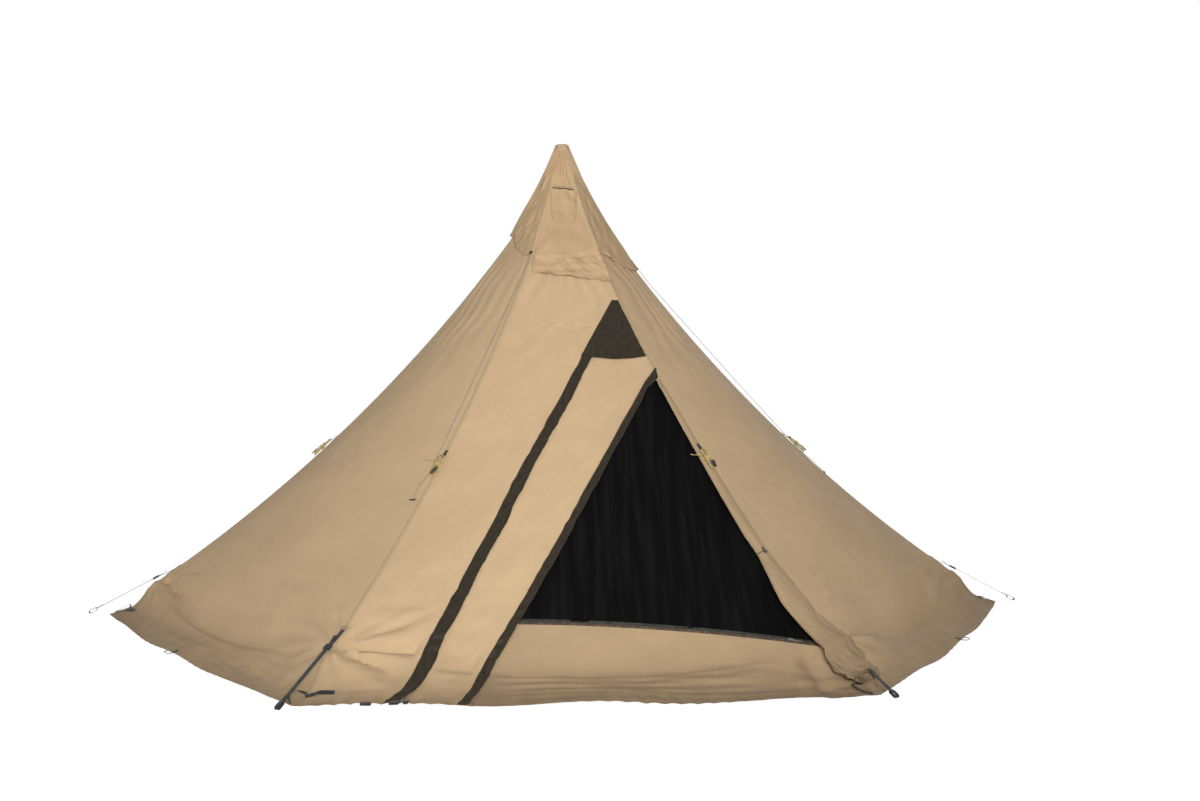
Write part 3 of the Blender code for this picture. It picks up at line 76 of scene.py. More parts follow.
# Doorway, zips and net, as in the model
LEFT_SEAM = 240.0
RIGHT_SEAM = 300.0
LONG_ZIP_MEET = 1.667
LONG_ZIP_TOP = 1.530
LONG_ZIP_FOOT = -0.755
DOOR_ZIP_MEET = 1.309
DOOR_ZIP_TOP = 1.262
DOOR_ZIP_FOOT = -0.487
SILL_LEFT = 0.273
SILL_MIDDLE = 0.240
SILL_RIGHT = 0.165
SILL_END = 0.030
ZIP_EDGE = 0.0090
NET_RECESS = 0.0022
PATCH_TOP = 1.655
PATCH_BOTTOM = 1.395
FLAP_HALF_WIDTH = 0.037
FLAP_CROWN = 0.0090
FLAP_LIFT = 0.0016

# Rolled door and its tie, as in the model
ROLL_TOP = 1.190
ROLL_END = 1.90
ROLL_TOP_HALF = 0.015
ROLL_FOOT_HALF = 0.054
ROLL_FLATNESS = 0.62
ROLL_PINCH = 0.25
ROLL_SEAT = 0.0030
ROLL_INSET = 0.022
TIE_STATION = 0.776
TIE_CORD = 0.0030
TIE_GAP = 0.0008

# Vent cap, as in the model
CAP_APEX_RADIUS = 0.030
CAP_RISE = 0.487
CAP_SLOPE = 0.393
CAP_FLARE = 0.270
CAP_ROUND = 0.40
CAP_DROP = 0.207
CAP_TILT = 0.053
CAP_TILT_ANGLE = 165.0
APEX_HEIGHT = NECK_HEIGHT + CAP_RISE

# Straps, guy lines and cap cords, as in the model
STRAP_WIDTH = 0.020
WEBBING = 0.0016
STRAP_TOP_STATION = 0.940
PEG_REACH = 0.110
PEG_LOOP_LENGTH = 0.050
PEG_LOOP_GAP = 0.016
STRAP_GROUND_GAP = 0.003
BUCKLE_LENGTH = 0.030
BUCKLE_WIDTH = 0.030
BUCKLE_DISTANCE = 0.075
STRAP_TAIL = 0.055
GUY_CORD = 0.0034
GUY_STATION = 0.560
GUY_LOOPS = 3
GUY_LOOP_POINTS = 24
GUY_HALF_LENGTH = 0.062
GUY_HALF_WIDTH = 0.032
GUY_PITCH = 0.0044
CAP_CORD = 0.0024
TOGGLE_RADIUS = 0.0042
TOGGLE_WAIST = 0.80

# Camera, fitted to the photograph's outline
CAMERA_PLACE = Vector((-0.452, -8.318, 1.536))
CAMERA_HEADING = math.radians(85.49)
CAMERA_DIP = math.radians(2.83)
CAMERA_LENS = 46.5
SENSOR_WIDTH = 36.0


# Numbers and directions


def mix(a, b, share):
    return a + (b - a) * share


def smooth(value, low, high):
    """0 below low, 1 above high and an even turn between them."""
    t = np.clip((value - low) / (high - low), 0.0, 1.0)
    return t * t * (3 - 2 * t)


def unit(way):
    return way / np.linalg.norm(way, axis=-1, keepdims=True)


def hump(value, centre, width):
    return np.exp(-(((value - centre) / width) ** 2))


def polar(radius, angle, height):
    """Points at a distance from the pole, an angle round it and a height."""
    turn = np.radians(angle)
    return np.stack(np.broadcast_arrays(radius * np.cos(turn), radius * np.sin(turn), height), axis=-1)


def reach_of(point):
    """Distance of points from the pole."""
    return np.hypot(point[..., 0], point[..., 1])


def angle_of(point):
    return np.degrees(np.arctan2(point[..., 1], point[..., 0])) % 360


def hexagon(angle):
    """How far a hexagon's side is from the pole, where its corners are at 1."""
    return math.cos(math.radians(30)) / np.cos(np.radians(angle % 60 - 30))


def laid_flat(x, y):
    """Places for waves() that run over a flat cloth."""
    x, y = np.broadcast_arrays(x, y)
    return np.stack((x, y, 0 * x), axis=-1)


def waves(point, wavelength, seed, count=7):
    """A wandering relief of about -1 to 1: plane waves in seeded directions."""
    draw = random.Random(seed)
    total = np.zeros(point.shape[:-1])
    for _ in range(count):
        way = np.array([draw.gauss(0, 1) for _ in range(3)])
        turn = point @ unit(way) / (wavelength * draw.uniform(0.7, 1.5))
        total += np.sin(2 * math.pi * turn + draw.uniform(0, 2 * math.pi))
    return total / math.sqrt(count)


def ripples(point, *layers):
    """Waves of several sizes: (height, wavelength, seed)."""
    return sum(height * waves(point, wavelength, seed) for height, wavelength, seed in layers)


def solve(value, low, high, shape):
    """Where a rising function crosses zero, for a whole array at once."""
    low, high = np.full(shape, float(low)), np.full(shape, float(high))
    for _ in range(40):
        middle = (low + high) / 2
        below = value(middle) < 0
        low, high = np.where(below, middle, low), np.where(below, high, middle)
    return (low + high) / 2


# The plain surface of the canvas, as the model has it


def seam_profile(station):
    """Radius and height of a seam between the neck and the kink: one hollow arc."""
    neck, kink = np.array((NECK_RADIUS, NECK_HEIGHT)), np.array((KINK_RADIUS, KINK_HEIGHT))
    half = np.linalg.norm(kink - neck) / 2
    arc_radius = (half**2 + WALL_SAG**2) / (2 * WALL_SAG)
    along = unit(kink - neck)
    outward = np.array((-along[1], along[0]))
    centre = (neck + kink) / 2 + outward * (arc_radius - WALL_SAG)
    turn = (math.asin(half / arc_radius) * (2 * station - 1))[..., None]
    place = centre + arc_radius * (along * np.sin(turn) - outward * np.cos(turn))
    return place[..., 0], place[..., 1]


def plain(angle, station):
    """A point on the canvas's smooth surface."""
    angle, station = np.broadcast_arrays(np.asarray(angle, float), np.asarray(station, float))
    flat = hexagon(angle)
    middle = np.cos(3 * np.radians(angle % 60 - 30)) ** 2
    wall = np.minimum(station, 1.0)
    radius, height = seam_profile(wall)
    round_share = BASE_ROUND + MIDDLE_ROUND * np.sin(math.pi * np.clip(station, 0.0, 1.0))
    radius = radius * mix(flat, 1.0, round_share)
    height = height - KINK_DIP * middle * np.maximum(0.0, (wall - 0.7) / 0.3) ** 2
    u = np.maximum(station - 1, 0.0)
    radius = mix(radius, (KINK_RADIUS + SKIRT_WIDTH) * flat, u)
    height = CLOTH + (height - CLOTH) * np.maximum(1 - u, 0.0) ** mix(SKIRT_CURVE, 1.0, middle)
    height = height + FOLD_DEPTH * np.sin(math.pi * FOLDS * (angle % 60) / 60) ** 2 * u
    return polar(radius, angle, height)


def wall_frame(angle, station):
    """Point, way down the wall, outward normal and way round to the right, seen from outside."""
    angle, station = np.broadcast_arrays(np.asarray(angle, float), np.asarray(station, float))
    step = 0.01
    up = plain(angle, np.maximum(station - step, 0.0))
    down = plain(angle, np.minimum(station + step, 2.0))
    along = unit(down - up)
    out = unit(np.cross(along, plain(angle + 0.4, station) - plain(angle - 0.4, station)))
    return plain(angle, station), along, out, unit(np.cross(out, along))


def radius_at(angle, station):
    return reach_of(plain(angle, station))


def angle_step(angle, station, distance):
    """The angle that lies a distance further round the wall."""
    return angle + np.degrees(distance / radius_at(angle, station))


def station_at(height, angle):
    """The station on the wall at a height."""
    shape = np.broadcast(np.asarray(height), np.asarray(angle)).shape
    return solve(lambda s: height - plain(angle, s)[..., 2], 0.0, 1.0, shape)


def slope_length(station):
    """Distance down the canvas from the neck."""
    return WALL_LENGTH * np.minimum(station, 1.0) + SKIRT_LENGTH * np.maximum(station - 1, 0.0)


class FrontZip:
    """The line of a zip that runs from the right seam down across the front wall."""

    def __init__(self, meet, foot, top):
        self.meet = meet
        self.meet_x = float(plain(RIGHT_SEAM, station_at(meet, RIGHT_SEAM))[0])
        self.foot = foot
        self.table = np.linspace(0.05, 2.0, 400)
        self.angles = solve(self.miss(self.table), LEFT_SEAM - 4, RIGHT_SEAM + 4, self.table.shape)
        self.top = self.station_of(top)

    def x_at(self, height):
        return mix(self.meet_x, self.foot, (self.meet - height) / self.meet)

    def miss(self, station):
        def value(angle):
            point = plain(angle, station)
            return point[..., 0] - self.x_at(point[..., 2])

        return value

    def angle(self, station):
        return np.interp(station, self.table, self.angles)

    def station_of(self, height):
        heights = plain(self.angles, self.table)[:, 2]
        return float(np.interp(-height, -heights, self.table))

    def frame(self, station):
        """Point, way down the zip, outward normal and way to the right."""
        ahead = plain(self.angle(station + 0.01), station + 0.01)
        back = plain(self.angle(station - 0.01), station - 0.01)
        along = unit(ahead - back)
        point, _, out, _ = wall_frame(self.angle(station), station)
        side = unit(np.cross(out, along))
        return point, along, np.cross(along, side), side

    def beside(self, station, distance):
        """The angle at a distance to the right of the zip, square to its line."""
        point, _, _, side = self.frame(station)
        return angle_of(point + side * np.asarray(distance)[..., None])


LONG_ZIP = FrontZip(LONG_ZIP_MEET, LONG_ZIP_FOOT, LONG_ZIP_TOP)
DOOR_ZIP = FrontZip(DOOR_ZIP_MEET, DOOR_ZIP_FOOT, DOOR_ZIP_TOP)


class SillLine:
    """The curved top edge of the sill: a circle through three points of the canvas."""

    def __init__(self):
        start = DOOR_ZIP.station_of(SILL_LEFT)
        left = plain(DOOR_ZIP.angle(start), start)
        end = station_at(SILL_RIGHT, RIGHT_SEAM)
        right = plain(angle_step(RIGHT_SEAM, end, -SILL_END), end)
        middle = self.wall_at((left[0] + right[0]) / 2, SILL_MIDDLE)
        first, second = middle - left, right - left
        axis = np.cross(first, second)
        reach = (np.cross(axis, first) * (second @ second)
                 + np.cross(second, axis) * (first @ first)) / (2 * (axis @ axis))
        self.centre, self.axis, self.left = left + reach, unit(axis), left
        arm, last = unit(left - self.centre), unit(right - self.centre)
        self.across = np.cross(self.axis, arm)
        self.sweep = math.atan2(last @ self.across, last @ arm)
        self.radius = float(np.linalg.norm(left - self.centre))

    def wall_at(self, x, height):
        angle = 270.0
        for _ in range(24):
            station = station_at(height, angle)
            radius = float(radius_at(angle, station))
            angle = 360 - math.degrees(math.acos(x / radius))
        return plain(angle, station)

    def point(self, share, above=0.0):
        """A point on the line, or above it by a distance, past both ends as well."""
        turn = (np.asarray(share) * self.sweep)[..., None]
        arm = unit(self.left - self.centre)
        way = arm * np.cos(turn) + self.across * np.sin(turn)
        along = -arm * np.sin(turn) + self.across * np.cos(turn)
        place = self.centre + way * self.radius
        turned = angle_of(place)
        out = wall_frame(turned, station_at(place[..., 2], turned))[2]
        up = unit(np.cross(out, along))
        up = np.where(up[..., 2:] < 0, -up, up)
        return place + up * above, along, out, up

    def on_cloth(self, share, above=0.0):
        """Angle and station of such a point."""
        point = self.point(share, above)[0]
        angle = angle_of(point)
        return angle, station_at(point[..., 2], angle)


SILL = SillLine()


# The slack, puckers and creases of the real cloth

# Slack and the creases low on the wall: height, wavelength, seed
SLACK = ((0.0045, 0.85, 3), (0.0012, 0.30, 4))
LOW_CREASES = ((0.0042, 0.13, 5), (0.0018, 0.045, 6))
SEAM_RIDGE = 0.0011
SEAM_HALF = 0.008
PUCKER_LENGTH = 0.034
CORNER_ARC = 2.60
CREASE_DEPTH = 0.0105
CREASES = 11
CREASE_SEED = 40
PULL_SEED = 60
PHASES = 6.28
SCALLOP_LENGTH = 0.072
SCALLOP_REACH = 0.007
SCALLOP_RISE = 0.008
NECK_PLEAT = 0.0060
NECK_PLEATS = 33
FRONT_PLEAT_ANGLE = 262.0
# Long folds at a corner: direction in degrees, depth, length
PULLS = ((92, 0.036, 0.58), (76, 0.017, 0.42), (112, 0.032, 0.42), (60, 0.015, 0.50), (134, 0.020, 0.26),
         (-58, 0.013, 0.50), (-78, 0.018, 0.46), (-97, 0.022, 0.40), (-118, 0.016, 0.30), (-30, 0.008, 0.4),
         (34, 0.008, 0.4))
KINK_VALLEY = 0.014
KINK_STATION = 0.985
HEM_SWELL = 0.075
DOOR_SWELL = 0.035
DOOR_SWELL_ANGLE = 286.0
CLEAR_OF_ZIP = 0.055
ZIP_SLANT = 0.75
FAR = 9.0
LOWEST_CLOTH = 0.0014


def zip_distance(angle, station):
    """Distance from the nearer of the two front zips, or from its top."""
    radius = radius_at(angle, station)
    least = np.full(np.shape(radius), FAR)
    for line in (LONG_ZIP, DOOR_ZIP):
        away = np.radians(np.abs(angle - line.angle(station))) * radius * ZIP_SLANT
        above = np.maximum(slope_length(line.top) - slope_length(station), 0.0)
        least = np.minimum(least, np.hypot(away, above))
    return least


def corner_creases(across, drop, seam_number):
    """Creases that fan out from where the strap pulls at a corner."""
    reach = np.hypot(across, drop)
    fan = np.arctan2(across, -drop)
    depth = np.zeros(np.shape(across))
    for number in range(6):
        draw = random.Random(CREASE_SEED + number)
        phase, lean = draw.uniform(0, PHASES), draw.uniform(0.2, 0.5)
        line = np.sin(CREASES * fan + phase + 2.2 * np.sin(reach * 9 + phase) * lean)
        sharp = 1 - 2 * np.abs(np.sin((CREASES * fan + phase) / 2 + 0.6 * np.sin(7 * reach))) ** 0.7
        depth = depth + np.where(seam_number == number, 0.45 * line + 0.75 * sharp, 0.0)
    sideways = 0.45 + 0.55 * np.abs(np.sin(fan))
    small = CREASE_DEPTH * depth * sideways * smooth(reach, 0.03, 0.14) * np.exp(-reach / 0.24)
    pull = np.zeros(np.shape(across))
    for number in range(6):
        draw = random.Random(PULL_SEED + number)
        for angle, deep, length in PULLS:
            lean = math.radians(angle + draw.uniform(-7, 7))
            bend = 0.10 * math.sin(draw.uniform(0, PHASES))
            off = fan - lean - bend * reach
            beside = reach * np.sin(off) / (0.010 + 0.055 * reach)
            ahead = np.cos(off) > 0
            fold = -np.exp(-np.abs(beside) ** 1.3) + 0.55 * np.exp(-((beside - 2.1) / 1.3) ** 2)
            fade = smooth(reach, 0.015, 0.08) * (1 - smooth(reach, 0.35 * length, length))
            scale = deep * draw.uniform(0.65, 1.1)
            pull = pull + np.where(ahead & (seam_number == number), scale * fold * fade, 0.0)
    return small + pull


def relief(angle, station, point):
    """How far the cloth stands off its smooth surface."""
    radius = reach_of(point)
    across = np.radians((angle + 30) % 60 - 30) * radius
    away = np.abs(across)
    arc = slope_length(station)
    seam_number = np.rint(angle / 60) % 6
    from_zip = zip_distance(angle, station)
    free = smooth(away, 0.01, 0.16) * smooth(from_zip, 0.035, CLEAR_OF_ZIP * 2.6)
    wall = smooth(station, 0.05, 0.3) * (1 - 0.75 * smooth(station, 1.2, 1.9))
    stand = ripples(point, *SLACK)
    level = laid_flat(np.radians(angle) * radius / 5, arc)
    low = smooth(station, 0.72, 1.0)
    for height, wavelength, seed in LOW_CREASES:
        stand += height * low * waves(level, wavelength, seed)
    stand = stand * free * wall
    near = np.exp(-((away / 0.028) ** 2))
    pucker = np.sin(2 * math.pi * arc / PUCKER_LENGTH + 1.7 * waves(point, 0.25, 8))
    stand += 0.0009 * near * pucker * smooth(away, 0.004, 0.012)
    stand += SEAM_RIDGE * (1 - smooth(away, SEAM_HALF - 0.002, SEAM_HALF))
    clear = smooth(from_zip, 0.030, CLEAR_OF_ZIP)
    stand += corner_creases(across, arc - CORNER_ARC, seam_number) * clear
    stand = stand - KINK_VALLEY * hump(station, KINK_STATION, 0.045) * smooth(away, 0.15, 0.5) * clear
    pleats = np.sin(np.radians(angle) * NECK_PLEATS + 2 * waves(point, 0.4, 9))
    pleats = pleats * (1 + 0.7 * hump(angle, FRONT_PLEAT_ANGLE, 16.0))
    fall = np.exp(-((arc / 0.75) ** 2)) * smooth(away, 0.0, 0.05) * smooth(arc, 0.02, 0.25)
    stand += NECK_PLEAT * pleats * fall * (0.6 + 0.4 * waves(point, 0.5, 10))
    return stand


def skin(angle, station):
    """The canvas as it hangs, with its slack and its scalloped hem."""
    angle, station = np.broadcast_arrays(np.asarray(angle, float), np.asarray(station, float))
    point, _, out, _ = wall_frame(angle, station)
    point = point + out * relief(angle, station, point)[..., None]
    u = np.maximum(station - 1, 0.0)
    hem_run = np.radians(angle % 60 - 30) * radius_at(angle, 2.0)
    wander = 0.35 * np.sin(hem_run * 9 + np.floor(angle / 60) * 2)
    arch = np.abs(np.sin(math.pi * hem_run / SCALLOP_LENGTH + wander))
    inner = smooth(30 - np.abs(angle % 60 - 30), 0.0, 1.4)
    edge = smooth(u, 0.62, 1.0) * inner
    radial = unit(point * np.array((1.0, 1.0, 0.0)))
    point = point + radial * (SCALLOP_REACH * (arch - 0.75) * edge)[..., None]
    square = polar(1.0, np.floor(angle / 60) * 60 + 30, 0.0)
    swell = HEM_SWELL * (1 - np.abs((angle % 60 - 30) / 30) ** 3) * u**0.8
    swell += DOOR_SWELL * hump(angle, DOOR_SWELL_ANGLE, 9.0) * u**0.8
    point = point + square * swell[..., None]
    rise = SCALLOP_RISE * arch * smooth(u, 0.35, 0.85) * (0.55 + 0.45 * np.sin(hem_run * 5.3)) * inner
    point[..., 2] = np.maximum(point[..., 2] + rise, LOWEST_CLOTH)
    return point


# Mesh makers

RIBBON_SIDES = 12


def metres(points):
    """Distances across and down a grid of points, from its first column and first row."""
    across = np.linalg.norm(np.diff(points, axis=1), axis=-1)
    across = np.concatenate((np.zeros((len(points), 1)), np.cumsum(across, axis=1)), axis=1)
    down = np.linalg.norm(np.diff(points, axis=0), axis=-1)
    down = np.concatenate((np.zeros((1, points.shape[1])), np.cumsum(down, axis=0)), axis=0)
    return across, down


def grid_normals(points, wrap):
    down = np.gradient(points, axis=0)
    if wrap:
        right = np.roll(points, -1, axis=1) - np.roll(points, 1, axis=1)
    else:
        right = np.gradient(points, axis=1)
    normal = np.cross(down, right)
    size = np.linalg.norm(normal, axis=-1, keepdims=True)
    return normal / np.maximum(size, 1e-12)


def grid_quads(rows, columns, wrap):
    last = columns if wrap else columns - 1
    i, j = np.meshgrid(np.arange(rows - 1), np.arange(last), indexing="ij")
    k = (j + 1) % columns
    quad = (i * columns + j, (i + 1) * columns + j, (i + 1) * columns + k, i * columns + k)
    return np.stack(quad, axis=-1).reshape(-1, 4)


def new_object(name, data, material):
    data.materials.append(material)
    item = bpy.data.objects.new(name, data)
    bpy.context.scene.collection.objects.link(item)
    return item


def sheet_mesh(name, points, material, thickness=0.0012, wrap=False):
    """A thin closed shell. points is its outer side, in rows down and columns to the right."""
    rows, columns = points.shape[:2]
    count = rows * columns
    under = points - grid_normals(points, wrap) * thickness
    under[..., 2] = np.maximum(under[..., 2], 0.0002)
    faces = [grid_quads(rows, columns, wrap)]
    faces.append(faces[0][:, ::-1] + count)
    index = np.arange(count).reshape(rows, columns)
    loops = [(index[0], wrap), (index[-1][::-1], wrap)]
    if not wrap:
        loops += [(index[::-1, 0], False), (index[:, -1], False)]
    for line, closed in loops:
        here, there = (line, np.roll(line, -1)) if closed else (line[:-1], line[1:])
        faces.append(np.stack((here, there, there + count, here + count), axis=-1))
    mesh = bpy.data.meshes.new(name)
    both = np.concatenate((points.reshape(-1, 3), under.reshape(-1, 3)))
    mesh.from_pydata(both.tolist(), [], np.concatenate(faces).tolist())
    across, down = metres(points)
    edge = np.minimum(across, across[:, -1:] - across)
    for key, values in (("edge", edge), ("hem", down[-1:] - down)):
        layer = mesh.attributes.new(key, "FLOAT", "POINT")
        layer.data.foreach_set("value", np.tile(values.ravel(), 2).astype(np.float32))
    corners = np.zeros(len(mesh.loops), np.int32)
    mesh.loops.foreach_get("vertex_index", corners)
    middle = across - across[:, -1:] / 2
    flat = np.stack((np.tile(middle.ravel(), 2), np.tile(down.ravel(), 2)), axis=-1)
    mesh.uv_layers.new(name="metres").data.foreach_set("uv", flat[corners].ravel())
    mesh.shade_smooth()
    mesh.set_sharp_from_angle(angle=math.radians(60))
    return new_object(name, mesh, material)


def smooth_route(route, count):
    """Points spread evenly in step along a smooth curve through the route's points."""
    route = [Vector(p) for p in route]
    ends = [route[0] * 2 - route[1]] + route + [route[-1] * 2 - route[-2]]
    points = []
    for k in range(count):
        place = (len(route) - 1) * k / (count - 1)
        i = min(int(place), len(route) - 2)
        s = place - i
        a, b, c, d = ends[i : i + 4]
        points.append((b * 2 + (c - a) * s + (a * 2 - b * 5 + c * 4 - d) * s**2
                       + (b * 3 - a - c * 3 + d) * s**3) / 2)
    return points


def cord_curve(name, points, diameter, material):
    """A round cord along points, with filled ends."""
    curve = bpy.data.curves.new(name, "CURVE")
    curve.dimensions = "3D"
    curve.bevel_depth = diameter / 2
    curve.bevel_resolution = 3
    curve.use_fill_caps = True
    spline = curve.splines.new("POLY")
    spline.points.add(len(points) - 1)
    for target, point in zip(spline.points, points):
        target.co = (*point, 1.0)
    spline.use_smooth = True
    return new_object(name, curve, material)


def ribbon(name, points, side, width, thickness, material):
    """A flat strap along points, with rounded edges. side is its width's direction, or a list."""
    points = [Vector(p) for p in points]
    sides = side if isinstance(side, list) else [side] * len(points)
    outline = []
    for side_number in range(RIBBON_SIDES):
        turn = 2 * math.pi * side_number / RIBBON_SIDES
        bulge = math.copysign(abs(math.cos(turn)) ** 0.3, math.cos(turn))
        rise = math.copysign(abs(math.sin(turn)) ** 0.6, math.sin(turn))
        outline.append((bulge * width / 2, rise * thickness / 2))
    rings = []
    for i, point in enumerate(points):
        along = (points[min(i + 1, len(points) - 1)] - points[max(i - 1, 0)]).normalized()
        across = (Vector(sides[i]) - along * Vector(sides[i]).dot(along)).normalized()
        out = across.cross(along)
        rings.append([point + across * w + out * h for w, h in outline])
    return swept_mesh(name, rings, material)


def swept_mesh(name, rings, material, sharp=50):
    """A closed skin over rings of points, with its ends filled."""
    count = len(rings[0])
    points = [p for ring in rings for p in ring]
    faces = [tuple(f) for f in grid_quads(len(rings), count, True).tolist()]
    faces += [tuple(range(count)), tuple(reversed(range(len(points) - count, len(points))))]
    mesh = bpy.data.meshes.new(name)
    mesh.from_pydata([tuple(p) for p in points], [], faces)
    mesh.update()
    span = [0.0]
    for low, high in zip(rings, rings[1:]):
        span.append(span[-1] + (Vector(high[0]) - Vector(low[0])).length)
    layer = mesh.uv_layers.new(name="metres")
    girth = sum((Vector(a) - Vector(b)).length for a, b in zip(rings[0], rings[0][1:]))
    for loop in mesh.loops:
        ring, place = divmod(loop.vertex_index, count)
        layer.data[loop.index].uv = (girth * place / count, span[ring])
    mesh.shade_smooth()
    mesh.set_sharp_from_angle(angle=math.radians(sharp))
    return new_object(name, mesh, material)


def frame_of(origin, x_axis, z_axis):
    """A frame with its x along x_axis and its z as near to z_axis as it can be."""
    x = Vector(x_axis).normalized()
    z = (Vector(z_axis) - x * Vector(z_axis).dot(x)).normalized()
    y = z.cross(x)
    return Matrix.Translation(Vector(origin)) @ Matrix((x, y, z)).transposed().to_4x4()


def round_box(length, width, corner, centre=(0.0, 0.0)):
    """A flat outline with rounded corners, 4 points to a corner."""
    points = []
    for quarter in range(4):
        x = (length / 2 - corner) * (1 if quarter in (0, 3) else -1)
        y = (width / 2 - corner) * (1 if quarter in (0, 1) else -1)
        for k in range(4):
            turn = math.radians(90 * quarter + 30 * k)
            points.append((centre[0] + x + corner * math.cos(turn),
                           centre[1] + y + corner * math.sin(turn)))
    return points


def plate(name, outlines, thickness, bevel, place, material):
    """A moulded plate: the first outline is its rim and the others are holes."""
    curve = bpy.data.curves.new(name, "CURVE")
    curve.dimensions = "2D"
    curve.fill_mode = "BOTH"
    curve.extrude = thickness / 2 - bevel
    curve.bevel_depth = bevel
    curve.bevel_resolution = 2
    for outline in outlines:
        spline = curve.splines.new("POLY")
        spline.points.add(len(outline) - 1)
        for target, point in zip(spline.points, outline):
            target.co = (*point, 0.0, 1.0)
        spline.use_cyclic_u = True
    item = new_object(name, curve, material)
    item.matrix_world = place
    return item


# How a piece is put on its body


def place_piece(item, body="root"):
    """A piece on its body."""
    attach(item, body)


def place_sheet(item, flat_points, node, body="root"):
    """A cloth on its body, in the place of its node, if it has one. flat_points is not used."""
    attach(item, body)
    if node:
        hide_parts(node)


# Materials

WAVE_LINES = 3.1831


def add_node(tree, kind, values, output=0, **settings):
    """The output of a new node. values names its inputs, each with a number, a colour or another output."""
    node = tree.nodes.new("ShaderNode" + kind)
    for key, setting in settings.items():
        setattr(node, key, setting)
    for key, value in values.items():
        if isinstance(value, bpy.types.NodeSocket):
            tree.links.new(value, node.inputs[key])
        elif value is not None:
            node.inputs[key].default_value = value
    return node.outputs[output]


class Finish:
    """A Principled material, whose colour, roughness and bump come from nodes."""

    def __init__(self, name, roughness, metallic=0.0, **sockets):
        self.material = bpy.data.materials.new(name)
        self.material.use_nodes = True
        self.tree = self.material.node_tree
        self.inputs = self.tree.nodes["Principled BSDF"].inputs
        self.inputs["Roughness"].default_value = roughness
        self.inputs["Metallic"].default_value = metallic
        for key, value in sockets.items():
            self.inputs[key.replace("_", " ")].default_value = value
        self.height = None

    def attribute(self, name):
        return add_node(self.tree, "Attribute", {}, "Fac", attribute_name=name)

    def place(self, scale, source):
        """The cloth's own coordinates in metres, or the object's, times a scale."""
        if source == "metres":
            start = add_node(self.tree, "UVMap", {}, uv_map="metres")
        else:
            start = add_node(self.tree, "TexCoord", {}, "Object")
        return add_node(self.tree, "Mapping", {"Vector": start, "Scale": scale})

    def noise(self, scale, detail=3.0, source="metres", rough=0.55):
        values = {"Scale": 1.0, "Detail": detail, "Roughness": rough, "Vector": self.place(scale, source)}
        return add_node(self.tree, "TexNoise", values, "Fac")

    def lines(self, scale, direction, source="metres"):
        """Even parallel lines, scale of them to a metre."""
        factor = scale / WAVE_LINES
        values = {"Scale": 1.0, "Vector": self.place((factor, factor, factor), source)}
        return add_node(self.tree, "TexWave", values, "Fac", bands_direction=direction)

    def math(self, kind, a, b=0.0, clamp=False):
        return add_node(self.tree, "Math", {0: a, 1: b}, operation=kind, use_clamp=clamp)

    def times(self, a, b):
        return self.math("MULTIPLY", a, b)

    def near(self, value, target, reach):
        """1 where the value is within a reach of the target."""
        return add_node(self.tree, "Math", {0: value, 1: target, 2: reach}, operation="COMPARE")

    def ramp(self, value, low, high, start=0.0, end=1.0):
        values = {"Value": value, "From Min": low, "From Max": high, "To Min": start, "To Max": end}
        return add_node(self.tree, "MapRange", values, interpolation_type="SMOOTHSTEP")

    def blend(self, share, a, b):
        """Colour a where share is 0 and b where it is 1."""
        a, b = ((*c, 1.0) if isinstance(c, tuple) else c for c in (a, b))
        return add_node(self.tree, "Mix", {0: share, 6: a, 7: b}, 2, data_type="RGBA")

    def colour(self, value):
        self.tree.links.new(value, self.inputs["Base Color"])

    def roughness(self, value):
        self.tree.links.new(value, self.inputs["Roughness"])

    def bump(self, value, distance, strength=1.0):
        """A relief of the given depth, over the ones that were added before it."""
        values = {"Distance": distance, "Strength": strength, "Height": value, "Normal": self.height}
        self.height = add_node(self.tree, "Bump", values, "Normal")
        self.tree.links.new(self.height, self.inputs["Normal"])


def tinted(colour, share):
    return tuple(c * share for c in colour)


def canvas_finish(name, colour, hem_darkening):
    """Cotton and polyester canvas: warp and weft, slubs, stitched edges and a hem darkened by dust and
    painted shade.
    """
    finish = Finish(name, 0.92, Specular_IOR_Level=0.12, Sheen_Weight=0.04, Sheen_Roughness=0.5)
    warp, weft = finish.lines(720, "X"), finish.lines(640, "Y")
    weave = finish.times(warp, weft)
    threads = finish.noise((900, 26, 1), 2.0)
    slubs = finish.noise((22, 700, 1), 2.0)
    cloudy = finish.noise((2.2, 2.8, 1), 4.0)
    patchy = finish.noise((14, 9, 1), 5.0)
    tone = 0.0
    for value, share in ((threads, 0.16), (slubs, 0.16), (cloudy, 0.46), (patchy, 0.22)):
        tone = finish.math("ADD", finish.times(value, share), tone)
    base = finish.blend(finish.ramp(tone, 0.36, 0.64), tinted(colour, 0.93), tinted(colour, 1.05))
    edge, hem = finish.attribute("edge"), finish.attribute("hem")
    doubled = finish.ramp(edge, 0.009, 0.013, 0.90, 1.0)
    thread_run = finish.ramp(finish.lines(300, "Y"), 0.25, 0.4)
    rows = [finish.near(edge, distance, 0.0007) for distance in (0.003, 0.0095)]
    stitched = finish.times(finish.math("ADD", rows[0], rows[1], clamp=True), thread_run)
    shade = finish.blend(stitched, base, tinted(colour, 0.62))
    fold = finish.times(doubled, finish.ramp(hem, 0.0, 0.02, 0.86, 1.0))
    dark = finish.math("SUBTRACT", 1.0, fold)
    shade = finish.blend(dark, shade, tinted(colour, 0.35))
    # Darker in patches towards the hem, up to 0.42 m from it: dust, and painted shade for the lower skirt
    # and sill.
    uneven = finish.ramp(patchy, 0.30, 0.70, 0.65, 1.0)
    dust = finish.times(finish.ramp(hem, 0.0, 0.42, hem_darkening, 0.0), uneven)
    finish.colour(finish.blend(dust, shade, tinted(colour, 0.50)))
    finish.roughness(finish.ramp(tone, 0.3, 0.7, 0.94, 0.82))
    finish.bump(finish.noise((34, 46, 1), 4.0), 0.0011, 0.55)
    finish.bump(stitched, 0.0006, 0.6)
    finish.bump(weave, 0.00022, 0.7)
    return finish.material


